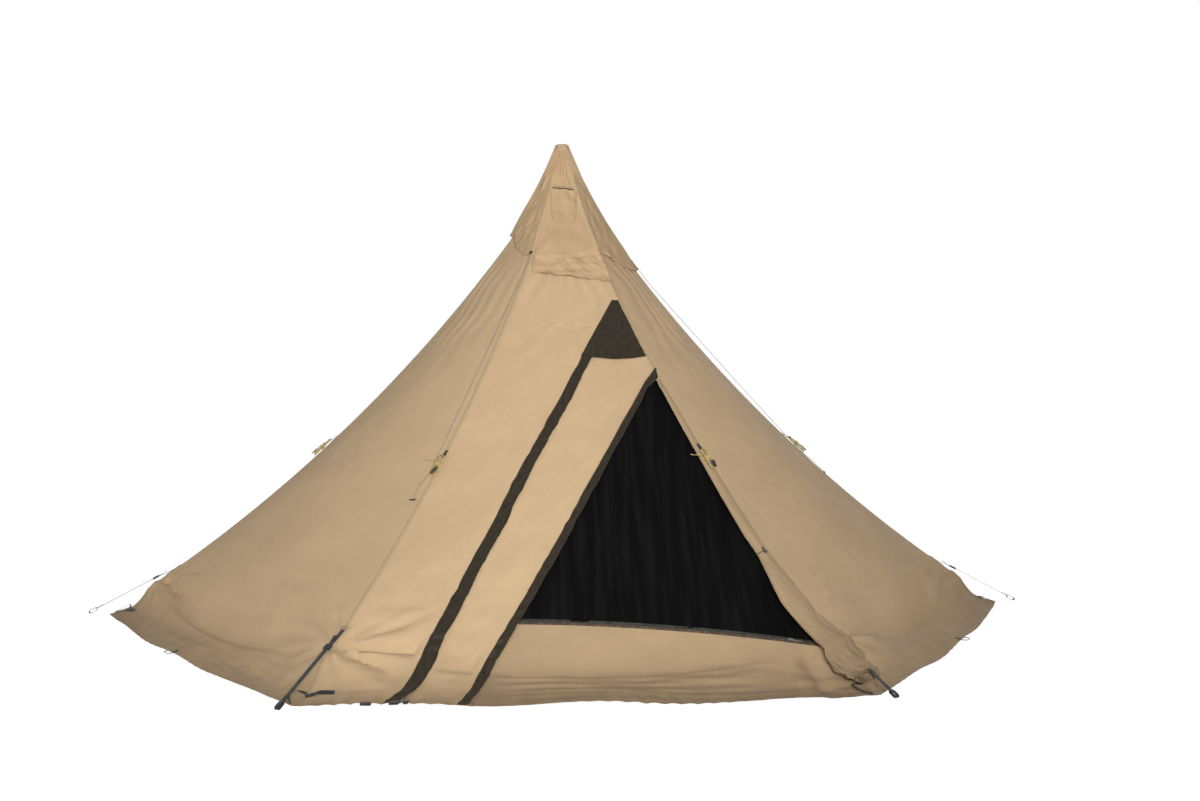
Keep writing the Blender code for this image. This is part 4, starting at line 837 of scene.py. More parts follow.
def nylon_finish(name, colour):
    """Coated nylon: a fine ripstop grid, small wrinkles with painted shade in their troughs and painted
    highlight on their crests, and stitched edges.
    """
    finish = Finish(name, 0.66, Specular_IOR_Level=0.14)
    grid = finish.math("MAXIMUM", finish.ramp(finish.lines(200, "X"), 0.93, 1.0),
                       finish.ramp(finish.lines(200, "Y"), 0.93, 1.0))
    wrinkles = finish.noise((60, 22, 1), 4.0)
    # Painted shade and highlight: the colour follows the wrinkles' bump noise, darker in the troughs and
    # lighter on the crests.
    base = finish.blend(finish.ramp(wrinkles, 0.3, 0.7), tinted(colour, 0.80), tinted(colour, 1.20))
    base = finish.blend(finish.times(grid, 0.25), base, tinted(colour, 1.6))
    edge = finish.attribute("edge")
    run = finish.ramp(finish.lines(280, "Y"), 0.3, 0.5)
    stitched = finish.times(finish.near(edge, 0.004, 0.0006), run)
    finish.colour(finish.blend(stitched, base, tinted(colour, 2.6)))
    finish.roughness(finish.ramp(wrinkles, 0.3, 0.7, 0.66, 0.44))
    finish.bump(wrinkles, 0.0012, 0.4)
    finish.bump(stitched, 0.0004, 0.5)
    return finish.material


def net_finish(name):
    """Near-black fly net, with the faint drop lines of its slack."""
    finish = Finish(name, 0.72, Specular_IOR_Level=0.03)
    streaks = finish.noise((26, 1.6, 1), 3.0)
    mesh = finish.times(finish.lines(620, "X"), finish.lines(620, "Y"))
    base = finish.blend(finish.ramp(streaks, 0.4, 0.75), (0.0034, 0.0032, 0.0034),
                        (0.0078, 0.0073, 0.0072))
    finish.colour(finish.blend(finish.times(mesh, 0.5), base, (0.002, 0.002, 0.002)))
    finish.roughness(finish.ramp(streaks, 0.35, 0.7, 0.74, 0.52))
    finish.bump(streaks, 0.002, 0.5)
    finish.bump(mesh, 0.0002, 0.4)
    return finish.material


def webbing_finish(name, colour, source="metres"):
    """Woven strap: fine ribs both ways and a little dust."""
    finish = Finish(name, 0.72, Specular_IOR_Level=0.35, Sheen_Weight=0.15)
    ribs = finish.times(finish.lines(420, "X", source), finish.lines(640, "Y", source))
    dust = finish.noise((40, 60, 40), 4.0, source)
    finish.colour(finish.blend(finish.ramp(dust, 0.4, 0.75), tinted(colour, 0.8), tinted(colour, 2.2)))
    finish.roughness(finish.ramp(dust, 0.3, 0.7, 0.82, 0.62))
    finish.bump(ribs, 0.0004, 0.8)
    return finish.material


def cord_finish(name, colour, fleck, fleck_share):
    """Braided cord: fine plaits with flecks of tracer yarn."""
    finish = Finish(name, 0.68, Specular_IOR_Level=0.35, Sheen_Weight=0.2)
    plait = finish.noise((520, 520, 520), 2.0, "object")
    tracer = finish.noise((95, 95, 95), 2.0, "object")
    base = finish.blend(finish.ramp(plait, 0.35, 0.65), tinted(colour, 0.72), tinted(colour, 1.15))
    cut = 1.0 - fleck_share
    finish.colour(finish.blend(finish.ramp(tracer, cut - 0.02, cut + 0.02), base, fleck))
    finish.roughness(finish.ramp(plait, 0.3, 0.7, 0.78, 0.58))
    finish.bump(plait, 0.0005, 0.8)
    return finish.material


def plastic_finish(name, colour):
    """Moulded acetal: a fine grain and scuffed, paler wear."""
    finish = Finish(name, 0.42, Specular_IOR_Level=0.5)
    grain = finish.noise((1600, 1600, 1600), 2.0, "object")
    scuffs = finish.noise((160, 90, 160), 5.0, "object", 0.7)
    finish.colour(finish.blend(finish.ramp(scuffs, 0.58, 0.8), colour, tinted(colour, 2.4)))
    finish.roughness(finish.ramp(scuffs, 0.35, 0.7, 0.36, 0.58))
    finish.bump(grain, 0.0001, 0.5)
    return finish.material


def metal_finish(name, colour, streak):
    """Drawn and anodised tube, or plated fittings: fine streaks along z and a smeared tone."""
    finish = Finish(name, 0.34, metallic=1.0)
    drawn = finish.noise((streak, streak, 6), 3.0, "object")
    smear = finish.noise((18, 18, 9), 4.0, "object")
    finish.colour(finish.blend(finish.ramp(smear, 0.35, 0.7), tinted(colour, 0.82), colour))
    finish.roughness(finish.ramp(drawn, 0.3, 0.7, 0.26, 0.46))
    finish.bump(drawn, 0.00008, 0.6)
    return finish.material


CANVAS_COLOUR = (0.575, 0.408, 0.240)
CAP_COLOUR = (0.535, 0.370, 0.212)
CANVAS = canvas_finish("canvas", CANVAS_COLOUR, 0.78)
CAP_CANVAS = canvas_finish("cap_canvas", CAP_COLOUR, 0.10)
# The sill's canvas is a darker copy of the same canvas: painted shade.
SHADED_SILL_CANVAS = canvas_finish("shaded_sill_canvas", tinted(CANVAS_COLOUR, 0.72), 0.80)
# The rolled door's canvas is a darker copy of the same canvas: painted shade for the shadowed folds of the
# roll.
SHADED_ROLL_CANVAS = canvas_finish("shaded_roll_canvas", tinted(CANVAS_COLOUR, 0.68), 0.80)
NYLON = nylon_finish("dark_nylon", (0.027, 0.0210, 0.0125))
NET = net_finish("net")
BINDING = webbing_finish("binding", (0.060, 0.036, 0.022))
STRAP = webbing_finish("webbing", (0.012, 0.012, 0.013))
GUY_LINE = cord_finish("guy_line", (0.560, 0.430, 0.150), (0.020, 0.018, 0.012), 0.38)
GREY_LINE = cord_finish("grey_line", (0.300, 0.285, 0.260), (0.080, 0.075, 0.070), 0.40)
BLACK_LINE = cord_finish("black_line", (0.014, 0.014, 0.015), (0.045, 0.045, 0.045), 0.30)
PLASTIC = plastic_finish("black_plastic", (0.012, 0.012, 0.013))
TAPE = webbing_finish("zip_tape", (0.018, 0.019, 0.014), "object")
SLIDER = metal_finish("zip_slider", (0.20, 0.19, 0.18), 400)
ALUMINIUM = metal_finish("aluminium", (0.72, 0.73, 0.74), 900)


# Camera


def build_camera():
    data = bpy.data.cameras.new("camera")
    data.lens = CAMERA_LENS
    data.sensor_width = SENSOR_WIDTH
    item = bpy.data.objects.new("camera", data)
    bpy.context.scene.collection.objects.link(item)
    level = math.cos(CAMERA_DIP)
    ahead = Vector((math.cos(CAMERA_HEADING) * level, math.sin(CAMERA_HEADING) * level,
                    -math.sin(CAMERA_DIP)))
    item.location = CAMERA_PLACE
    item.rotation_euler = ahead.to_track_quat("-Z", "Y").to_euler()
    bpy.context.scene.camera = item


# Guy lines, each tied up in a hank on its seam

HANK_WAIST = 0.34
HANK_SEAT = 0.0062
WRAP_TURNS = 4
WRAP_POINTS = 20
WRAP_PITCH = 0.0041
WRAP_GAP = 0.0006
TAIL_LENGTH = 0.085
# The webbing loop on the seam, from the hank's end: way down the seam, height
SEAM_LOOP = ((-0.034, 0.0016), (-0.015, 0.0022), (0.004, 0.0045), (0.013, 0.0080), (0.014, 0.0115),
             (0.006, 0.0120), (-0.012, 0.0070), (-0.034, 0.0036))


def roll_section(station):
    """Half width and half thickness of the rolled door."""
    start = float(station_at(ROLL_TOP, RIGHT_SEAM))
    share = np.minimum(1.0, (station - start) / (1.1 - start))
    half = mix(ROLL_TOP_HALF, ROLL_FOOT_HALF, share) * (1 - ROLL_PINCH * hump(station, TIE_STATION, 0.035))
    return half, half * ROLL_FLATNESS


def roll_frame(station):
    """Middle of the rolled door and its three directions."""
    half, thick = roll_section(station)
    inset = ROLL_INSET * np.clip((station - GUY_STATION) / 0.3, 0.0, 1.0)
    angle = angle_step(RIGHT_SEAM, station, -half - inset)
    point, along, out, side = wall_frame(angle, station)
    return point + out * np.asarray(thick + ROLL_SEAT)[..., None], along, out, side


def hank_frame(seam):
    """Where a hank lies: x down the seam, z off the cloth."""
    point, along, out, _ = wall_frame(seam, GUY_STATION)
    if seam == RIGHT_SEAM:
        point, along, out, _ = roll_frame(GUY_STATION)
        point = point + out * (roll_section(GUY_STATION)[1] + 0.001)
    return frame_of(point, along, out)


def hank_points(draw):
    """Loops drawn in at the waist, then turns round the waist, then the free tail."""
    points = []
    middle = HANK_SEAT + GUY_CORD / 2 + GUY_PITCH * GUY_LOOPS / 2
    for k in range(GUY_LOOPS * GUY_LOOP_POINTS + 1):
        a = 2 * math.pi * k / GUY_LOOP_POINTS
        lap = k // GUY_LOOP_POINTS
        length = GUY_HALF_LENGTH * math.cos(a) * (1 - 0.05 * lap)
        width = GUY_HALF_WIDTH * math.sin(a) * mix(HANK_WAIST, 0.8, math.cos(a) ** 2)
        points.append(Vector((length, width, HANK_SEAT + GUY_CORD / 2 + GUY_PITCH * k / GUY_LOOP_POINTS)))
    reach = GUY_HALF_WIDTH * HANK_WAIST + GUY_CORD + WRAP_GAP
    height = GUY_PITCH * GUY_LOOPS / 2 + GUY_CORD + WRAP_GAP
    start = Vector((GUY_HALF_LENGTH * 0.5, 0.002, middle + height))
    wrap = []
    for k in range(WRAP_TURNS * WRAP_POINTS + 1):
        a = 2 * math.pi * k / WRAP_POINTS + math.pi / 2
        x = 0.010 - WRAP_PITCH * k / WRAP_POINTS
        wrap.append(Vector((x, reach * math.cos(a), middle + height * math.sin(a))))
    points[-1] = points[-1] + Vector((-0.004, 0, 0.002))
    points += smooth_route([points[-1], start, wrap[0]], 8)[1:-1]
    points += wrap
    swing = draw.uniform(-0.5, 0.5)
    tail = [wrap[-1]]
    for k in range(1, 6):
        share = k / 5
        tail.append(Vector((-0.012 - TAIL_LENGTH * share * 0.25,
                            -(0.016 + TAIL_LENGTH * share * (0.75 + 0.2 * swing)),
                            middle + 0.016 - 0.012 * share - 0.006 * math.sin(3 * share))))
    points += smooth_route(tail, 16)[1:]
    return points


def build_hank(number):
    """A guy line's hank, the webbing loop that it hangs from and its line runner."""
    seam = 60.0 * number
    name = f"guy_hank_{number + 1}"
    draw = random.Random(seam)
    place = hank_frame(seam)
    points = [place @ p for p in hank_points(draw)]
    hank = cord_curve(name + "_cord", points, GUY_CORD, GUY_LINE)
    top = GUY_HALF_LENGTH + 0.006
    loop = [place @ p for p in smooth_route([(x - top, 0, z) for x, z in SEAM_LOOP], 28)]
    across = place.to_3x3() @ Vector((0, 1, 0))
    webbing = ribbon(name + "_loop", loop, across, 0.012, 0.0013, STRAP)
    rim = round_box(0.040, 0.016, 0.006)
    holes = [round_box(0.006, 0.009, 0.0025, (x, 0.0)) for x in (-0.012, 0.0, 0.012)]
    turn = Matrix.Rotation(draw.uniform(-0.5, 0.5), 4, "Z")
    spot = Matrix.Translation((GUY_HALF_LENGTH * 0.72, 0.004, HANK_SEAT + GUY_PITCH * GUY_LOOPS + 0.0065))
    runner = plate(name + "_runner", [rim, *holes], 0.0046, 0.0014, place @ spot @ turn, PLASTIC)
    place_piece(hank)
    place_piece(webbing)
    place_piece(runner)
    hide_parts(name)


# Cords of the vent cap, each with its toggle

CORD_RISE = 0.068
CORD_SIDES = 10
CAP_CORD_ROUTES = (
    ((0.4746, 0.0, 1.74581), (0.55374, -0.00345, 1.65891), (0.86764, -0.01677, 1.3084),
     (1.26608, -0.03445, 0.87683), (1.35457, -0.04738, 0.79961), (1.42428, -0.04651, 0.73321)),
    ((-0.20309, 0.35177, 1.83448), (-0.24311, 0.42796, 1.73871), (-0.40219, 0.73016, 1.35273),
     (-0.6032, 1.11368, 0.87683), (-0.63625, 1.19678, 0.79961), (-0.67186, 1.25672, 0.73321)),
    ((-0.21205, -0.36728, 1.81072), (-0.25713, -0.43848, 1.71733), (-0.43572, -0.72115, 1.34085),
     (-0.66287, -1.07923, 0.87683), (-0.71832, -1.1494, 0.79961), (-0.75242, -1.21021, 0.73321)),
)


def tube_mesh(name, points, diameter, material):
    """A round cord as a mesh."""
    rings = []
    turns = [2 * math.pi * k / CORD_SIDES for k in range(CORD_SIDES)]
    for i, point in enumerate(points):
        along = (points[min(i + 1, len(points) - 1)] - points[max(i - 1, 0)]).normalized()
        across = along.cross(Vector((0.2, 0.1, 1.0))).normalized()
        out = across.cross(along)
        rings.append([point + (across * math.cos(a) + out * math.sin(a)) * diameter / 2 for a in turns])
    return swept_mesh(name, rings, material)


def build_cap_cord(number, route):
    """A cord from under the cap's lip to its toggle."""
    angle = math.degrees(math.atan2(route[0][1], route[0][0])) % 360
    point, _, out, _ = wall_frame(angle, float(station_at(route[0][2] + CORD_RISE, angle)))
    points = smooth_route([tuple(point + out * 0.0165), *route], 36)
    back = (points[-2] - points[-1]).normalized()
    points[-1] = points[-1] + back * (TOGGLE_RADIUS * TOGGLE_WAIST + 0.0004)
    cord = tube_mesh(f"cap_line_{number}", points, CAP_CORD, GREY_LINE)
    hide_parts(f"cap_cord_{number}")
    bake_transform(cord)


build_camera()
for number in range(6):
    build_hank(number)
for number, route in enumerate(CAP_CORD_ROUTES):
    build_cap_cord(number + 1, route)


# Canvas walls

EDGE_BAND = 0.060
EDGE_COLUMNS = 11
MIDDLE_COLUMNS = 74
FRONT_COLUMNS = 60
BAND_COLUMNS = 26
WALL_ROWS = 150
SKIRT_ROWS = 26
SEAM_GAP = 0.0006


def stations_down(start, wall_rows, skirt_rows, end=2.0):
    """Stations from a start on the wall to the kink, and on to an end on the skirt."""
    skirt = np.linspace(0.0, end - 1, skirt_rows)[1:]
    return np.concatenate((np.linspace(start, 1.0, wall_rows), 1 + skirt))


def wall_stations(start=0.0):
    return stations_down(start, round(WALL_ROWS * (1 - start)) + 1, SKIRT_ROWS + 1)


def column_shares(width, middle_columns):
    """Shares across a row: close together beside both edges and even between them."""
    band = np.minimum(EDGE_BAND, width * 0.22)[:, None] / width[:, None]
    near = np.linspace(0.0, 1.0, EDGE_COLUMNS + 1)[None, :] ** 1.25 * band
    middle = band + (1 - 2 * band) * np.linspace(0.0, 1.0, middle_columns + 1)[None, 1:-1]
    return np.concatenate((near, middle, 1 - near[:, ::-1]), axis=1)


def canvas_piece(name, node, stations, left, right, middle_columns=MIDDLE_COLUMNS):
    """A piece of canvas between two lines of angles, one angle to a station."""
    width = np.radians(right - left) * radius_at((left + right) / 2, stations)
    shares = column_shares(width, middle_columns)
    angles = left[:, None] + (right - left)[:, None] * shares
    rows = np.broadcast_to(stations[:, None], angles.shape)
    item = sheet_mesh(name, skin(angles, rows), CANVAS)
    place_sheet(item, plain(angles, rows), node)


def slit_half(zipper, stations):
    """Half the slit that a zip runs in: it closes below the foot of the zip."""
    height = plain(zipper.angle(stations), stations)[..., 2]
    return 0.0003 + (ZIP_EDGE - 0.0003) * smooth(height, 0.072, 0.112)


def build_walls():
    names = ("right_front", "right_back", "back", "left_back", "left_front")
    stations = wall_stations()
    for k, name in enumerate(names):
        seam = (RIGHT_SEAM + 60 * k) % 360
        left = angle_step(seam, stations, SEAM_GAP / 2)
        right = angle_step(seam + 60, stations, -SEAM_GAP / 2)
        canvas_piece(f"canvas_{name}", f"wall_{name}", stations, left, right)


def left_of_zip(zipper, stations):
    """The right edge of the cloth left of a zip, which is the seam above the zip's top."""
    seam = angle_step(RIGHT_SEAM, stations, -SEAM_GAP / 2)
    return np.where(stations < zipper.top, seam, zipper.beside(stations, -slit_half(zipper, stations)))


def build_front():
    """The front left of the long zip and above it, and the band between the two zips."""
    stations = wall_stations()
    left = angle_step(LEFT_SEAM, stations, SEAM_GAP / 2)
    right = left_of_zip(LONG_ZIP, stations)
    canvas_piece("canvas_front", "wall_front", stations, left, right, FRONT_COLUMNS)
    stations = wall_stations(LONG_ZIP.top)
    left = LONG_ZIP.beside(stations, slit_half(LONG_ZIP, stations))
    right = left_of_zip(DOOR_ZIP, stations)
    canvas_piece("canvas_band", "wall_front_band", stations, left, right, BAND_COLUMNS)


def doorway_grid(columns, rows, side, end=2.0):
    """Angles and stations of the doorway, from the sill's line up (side 1) or down (-1) to a station."""
    shares = np.linspace(0.0, 1.0, columns + 1) ** 0.9
    line = mix(ZIP_EDGE / (abs(SILL.sweep) * SILL.radius), 1.0, shares)
    angle, station = SILL.on_cloth(line, side * ZIP_EDGE)
    last = float(angle_step(RIGHT_SEAM, station[-1], -SEAM_GAP))
    angle = angle + (last - angle[-1]) * smooth(shares, 0.9, 1.0)
    depth = np.linspace(0.0, 1.0, rows + 1)[:, None]
    stations = station[None, :] + (end - station[None, :]) * depth
    left = DOOR_ZIP.beside(stations, slit_half(DOOR_ZIP, stations))
    right = angle_step(RIGHT_SEAM, stations, -SEAM_GAP)
    spread = left + (right - left) * shares[None, :]
    keep = (1 - depth) ** 2
    angles = spread + (angle - spread[0])[None, :] * keep
    return angles, stations


SILL_GRID = (96, 60)
SILL_VALLEY = 0.030
SILL_VALLEY_AT = 0.165
FOOT_TAPE_DEPTH = 0.0024
FOOT_TAPE_TOP = 0.105


def build_sill():
    """The low cloth under the net, with its folds and the valley at its right end."""
    angles, stations = doorway_grid(*SILL_GRID, -1)
    point, _, out, _ = wall_frame(angles, stations)
    run = laid_flat(np.radians(angles) * 0.5, slope_length(stations))
    slack = 0.0035 * waves(run * np.array((1.0, 2.6, 1.0)), 0.16, 21)
    slack += 0.0016 * waves(run * np.array((2.0, 4.0, 1.0)), 0.14, 22)
    across, down = metres(point)
    free = smooth(down, 0.01, 0.05) * smooth(across, 0.03, 0.12) * (1 - 0.6 * smooth(stations, 1.3, 1.9))
    free = free * smooth(across[:, -1:] - across, 0.0, 0.06)
    points = skin(angles, stations) + out * (slack * free)[..., None]
    valley = hump(across[:, -1:] - across, SILL_VALLEY_AT, 0.040) * smooth(down, 0.01, 0.07)
    points = points - out * (SILL_VALLEY * valley)[..., None]
    points = point + (points - point) * smooth(down, 0.002, 0.06)[..., None]
    points[..., 2] = np.maximum(points[..., 2], LOWEST_CLOTH)
    # The sill's darker canvas is painted shade.
    item = sheet_mesh("canvas_sill", points, SHADED_SILL_CANVAS)
    place_sheet(item, plain(angles, stations), "door_sill")


def build_foot_tape(name, zipper):
    """Tape sewn behind the cloth, from a zip's foot to the hem."""
    stations = np.linspace(zipper.station_of(FOOT_TAPE_TOP), 1.99, 30)
    angles = zipper.angle(stations)
    _, _, out, side = wall_frame(angles, stations)
    points = skin(angles, stations) - out * FOOT_TAPE_DEPTH
    points[..., 2] = np.maximum(points[..., 2], 0.0008)
    place_piece(ribbon(name, points, list(side), 0.022, 0.0010, TAPE))


build_walls()
build_front()
build_sill()
build_foot_tape("foot_tape_long", LONG_ZIP)
build_foot_tape("foot_tape_door", DOOR_ZIP)


# Fly net, with its half of the net zip

NET_TOP_SHOWN = 1.252
NET_GRID = (72, 110)
NET_BELLY = 0.020
NET_TAPE = ((0.0012, -0.0023), (0.0045, -0.0023), (0.0045, -0.0014), (0.0150, -0.0022), (0.0150, -0.0010),
            (0.0045, 0.0), (0.0045, 0.0013), (0.0012, 0.0013))


def swing_with_net(item, middle):
    """Bakes a piece's place into its mesh. The way from the net's hinge to middle is worked out but not
    used.
    """
    turn = next(joint for joint in frame["joints"] if joint["name"] == "door_net_swing")
    hinge, line = Vector(turn["pos_m"]), Vector(turn["axis"])
    away = Vector(middle) - hinge
    away = (away - line * away.dot(line)).normalized()
    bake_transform(item)


def build_sill_edge(middle):
    """The net's half of the curved zip and the dark binding along the sill."""
    share = np.linspace(0.012, 0.992, 130)
    place, _, out, up = SILL.point(share)
    rings = []
    for p, o, u in zip(place, out, up):
        rings.append([Vector(p + u * w + o * h) for w, h in NET_TAPE])
    tape = swept_mesh("net_tape", rings, TAPE, sharp=30)
    swing_with_net(tape, middle)
    route = place - up * 0.0068 + out * 0.0026
    place_piece(ribbon("sill_binding", route, list(up), 0.0125, 0.0016, BINDING))


def build_net():
    """The fly net from the sill's line up, hanging a little inwards."""
    top = DOOR_ZIP.station_of(NET_TOP_SHOWN)
    angles, stations = doorway_grid(*NET_GRID, 1, top)
    angles, stations = angles[::-1], stations[::-1]
    point, _, out, _ = wall_frame(angles, stations)
    across, down = metres(point)
    width = across[:, -1:]
    free = smooth(across, 0.01, 0.12) * smooth(width - across, 0.01, 0.12)
    run = laid_flat(across * 4.5, down * 0.55)
    slack = 0.004 * waves(run, 0.42, 31) + 0.0016 * waves(run * 2.3, 0.40, 32)
    belly = NET_BELLY * np.sin(math.pi * np.clip(across / width, 0, 1)) * smooth(down, 0.05, 0.5)
    belly = belly * smooth(down[-1:] - down, 0.0, 0.35)
    depth = NET_RECESS + belly + free * slack + 0.003
    points = point - out * depth[..., None]
    net = sheet_mesh("fly_net", points, NET, thickness=0.0008)
    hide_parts("door_net")
    middle = points[len(points) // 2, 0]
    swing_with_net(net, middle)
    build_sill_edge(middle)


build_net()


# Dark strips over the two front zips, and the bare patch at the top of the long one

STRIP_CLOTH = 0.0010
STRIP_HEAD = (0.0, 0.060, 0.130)
STRIP_ROWS = 260
STRIP_COLUMNS = 29
STRIP_DOOR_TOP = 1.318
# Crosswise pleats: station, height
STRIP_CREASES = ((0.875, 0.0045), (0.932, 0.0080), (0.958, 0.0060), (1.01, 0.0090), (1.30, 0.0080),
                 (1.62, 0.0070))


def strip_mesh(name, node, zipper, start, half_width, seed, drift, head=0.0):
    """An arched strip down a zip, with an uneven edge, small pleats and a free foot that drifts aside.

    head is what the strip gains on the right near its top, which is then pointed and not cut off.
    """
    stations = stations_down(start, STRIP_ROWS, 42)
    shares = np.linspace(-1.0, 1.0, STRIP_COLUMNS)
    run = slope_length(stations)
    level = laid_flat(run, 0.0)
    taper = np.clip((0.50 if head == 0 else 0.04) + (run - run[0]) / 0.09, 0.0, 1.0)
    left = -half_width * taper * (
        1 + 0.07 * waves(level, 0.16, seed) + 0.03 * waves(level, 0.05, seed + 1))
    right = half_width * taper * (
        1 + 0.10 * waves(level, 0.14, seed + 2) + 0.04 * waves(level, 0.045, seed + 3))
    right += head * np.interp(run - run[0], STRIP_HEAD, (0.0, 1.0, 0.0))
    slide = drift * smooth(stations, 0.96, 2.0) ** 2 + 0.0035 * waves(level, 0.33, seed + 4)
    middle = (left + right) / 2 + slide * taper
    reach = (right - left) / 2
    away = middle[:, None] + reach[:, None] * shares[None, :]
    rows = np.broadcast_to(stations[:, None], away.shape)
    angles = zipper.beside(rows, away)
    base = skin(angles, rows)
    out = wall_frame(angles, rows)[2]
    arch = FLAP_LIFT + 0.0006 + (FLAP_CROWN - 0.001) * np.cos(away / 0.040 * math.pi / 2).clip(0, 1) ** 1.5
    arch = arch * (0.35 + 0.65 * taper[:, None])
    place = laid_flat(away * 1.8, run[:, None])
    soft = 0.0016 * waves(place, 0.10, seed + 5)
    soft += 0.0011 * waves(place * np.array((0.4, 1.0, 1.0)), 0.032, seed + 6)
    pleats = np.zeros(away.shape)
    for station, height in STRIP_CREASES:
        lean = 0.004 * shares[None, :] * (1 if station < 1 else -1)
        bend = stations[:, None] + lean - station
        pleats += height * (hump(bend, 0.0, 0.0065) - 0.55 * hump(bend, 0.011, 0.006))
    edge = 1 - 0.75 * np.abs(shares[None, :]) ** 4
    stand = arch + np.maximum(soft + pleats, -arch * 0.35) * edge
    stand += 0.0022 * smooth(np.abs(shares)[None, :], 0.8, 1.0) * (1 + waves(place, 0.07, seed + 7))
    points = base + out * stand[..., None]
    points[..., 2] = np.maximum(points[..., 2], 0.0030)
    item = sheet_mesh(name, points, NYLON, thickness=STRIP_CLOTH)
    place_sheet(item, base, node)


def build_patch():
    """The bare triangular patch, with a turned and stitched edge and puckers from its seams."""
    top = float(station_at(PATCH_TOP, RIGHT_SEAM))
    bottom = LONG_ZIP.station_of(PATCH_BOTTOM) + 0.010
    stations = np.linspace(top, bottom, 60)
    shares = np.linspace(0.0, 1.0, 41)
    right = angle_step(RIGHT_SEAM, stations, -0.006)
    left = LONG_ZIP.beside(stations, -FLAP_HALF_WIDTH * 0.95)
    left = np.minimum(left, angle_step(right, stations, -0.012))
    angles = left[:, None] + (right - left)[:, None] * shares[None, :]
    sag = 0.012 * np.sin(math.pi * shares) * smooth(stations, bottom - 0.03, bottom)[:, None]
    rows = np.broadcast_to(stations[:, None], angles.shape) + sag * 0.6
    base = skin(angles, rows)
    out = wall_frame(np.minimum(angles, RIGHT_SEAM - 0.3), rows)[2]
    down = smooth(stations, top, top + 0.05)[:, None]
    crown = FLAP_CROWN * np.sin(math.pi * shares ** 0.7)[None, :] * down
    puckers = 0.0
    for rate, lean, edge in ((44, 5, 1.0), (52, -4, 0.0)):
        pleat = np.sin(2 * math.pi * rows * rate + lean * shares[None, :])
        puckers += pleat * hump(shares[None, :], edge, 0.16)
    soft = ripples(base, (0.0012, 0.11, 61), (0.0007, 0.04, 62))
    stand = 0.0030 + crown + (0.0010 * puckers + soft) * down
    item = sheet_mesh("bare_patch", base + out * stand[..., None], NYLON, thickness=STRIP_CLOTH)
    place_sheet(item, base, "apex_patch")


strip_mesh("strip_long", "zip_flap_long", LONG_ZIP, LONG_ZIP.station_of(PATCH_BOTTOM) - 0.010,
           half_width=0.030, seed=71, drift=-0.060)
strip_mesh("strip_door", "zip_flap_door", DOOR_ZIP, DOOR_ZIP.station_of(STRIP_DOOR_TOP),
           half_width=0.0225, seed=91, drift=-0.030, head=0.042)
build_patch()


# Door, rolled up along the right seam and tied

ROLL_TURNS = (2.3, 3.1)
ROLL_CORE = 0.34
ROLL_WRAP_END = math.radians(-38)
ROLL_ROWS = 190
ROLL_COLUMNS = 190
APRON_COLUMNS = 9
ROLL_HEAD = 1.256
HEAD_SINK = 0.008
HEAD_PINCH = 0.45
FOOT_GROWTH = 0.027
FOOT_SHIFT = 0.058
FOOT_LIFT = 0.034
TIE_POINTS = 48
TIE_START = -28.0
TIE_SWEEP = 236.0


def build_roll():
    """One cloth that leaves the seam, passes under the roll and winds up inside it."""
    start = float(station_at(ROLL_HEAD, RIGHT_SEAM))
    stations = stations_down(start, ROLL_ROWS, 44, ROLL_END)
    half, thick = roll_section(stations)
    centre, _, out, side = roll_frame(stations)
    share = (stations - start) / (ROLL_END - start)
    run = slope_length(stations)
    down = (run - run[0]) / (run[-1] - run[0])
    half = half + FOOT_GROWTH * (0.6 * smooth(down, 0.45, 0.85) + 0.4 * smooth(down, 0.85, 1.0))
    centre = centre + side * (FOOT_SHIFT * smooth(down, 0.76, 1.0))[:, None]
    centre = centre + out * (FOOT_LIFT * smooth(down, 0.76, 0.95))[:, None]
    centre = centre - out * (HEAD_SINK * (1 - smooth(run - run[0], 0.02, 0.08)))[:, None]
    swell = 1 + 0.07 * waves(laid_flat(run, 0.0), 0.22, 101) * smooth(share, 0.1, 0.5)
    swell = swell * (1 - HEAD_PINCH * (1 - smooth(run - run[0], 0.0, 0.05)))
    turns = mix(*ROLL_TURNS, down)[:, None]
    t = np.linspace(0.0, 1.0, ROLL_COLUMNS)[None, :]
    turn = ROLL_WRAP_END + 2 * math.pi * turns * (1 - t)
    size = mix(ROLL_CORE, 1.0, t ** 0.8)
    outer = smooth(t, 0.45, 1.0)
    spot = polar(0.25, np.degrees(turn), run[:, None] * 0.8)
    tied = hump(stations, TIE_STATION, 0.055)[:, None]
    ripple = 0.085 * tied * np.sin(9 * turn + 3 * np.sin(2 * turn))
    loose = smooth(share, 0.15, 0.6)[:, None]
    slack = ripples(spot, (0.150, 0.16, 111), (0.070, 0.055, 112)) * loose
    twist = 0.060 * np.sin(3 * turn + 26 * share[:, None]) * smooth(share, 0.25, 0.8)[:, None]
    size = size * (1 + (ripple + slack + twist) * outer)
    wide = np.cos(turn) * half[:, None] * size * swell[:, None]
    high = np.sin(turn) * thick[:, None] * size * swell[:, None]
    high += 0.10 * thick[:, None] * np.cos(2 * turn) * outer
    points = centre[:, None] + side[:, None] * wide[..., None] + out[:, None] * high[..., None]
    seam_angle = angle_step(RIGHT_SEAM, stations, -0.004)
    seam = skin(seam_angle, stations) + out * 0.0024
    reach = np.linspace(0.0, 1.0, APRON_COLUMNS + 1)[1:]
    last = points[:, -1]
    apron = last[:, None] + (seam - last)[:, None] * smooth(reach, -0.3, 1.0)[None, :, None]
    apron = apron + out[:, None] * (0.003 * np.sin(math.pi * reach)[None, :]
                                    * (0.3 + smooth(share, 0.1, 0.5)[:, None]))[..., None]
    points = np.concatenate((points, apron), axis=1)
    points[..., 2] = np.maximum(points[..., 2], 0.0035)
    # The roll's darker canvas is painted shade.
    item = sheet_mesh("rolled_door", points, SHADED_ROLL_CANVAS, thickness=0.0011)
    place_sheet(item, points, "door_roll")


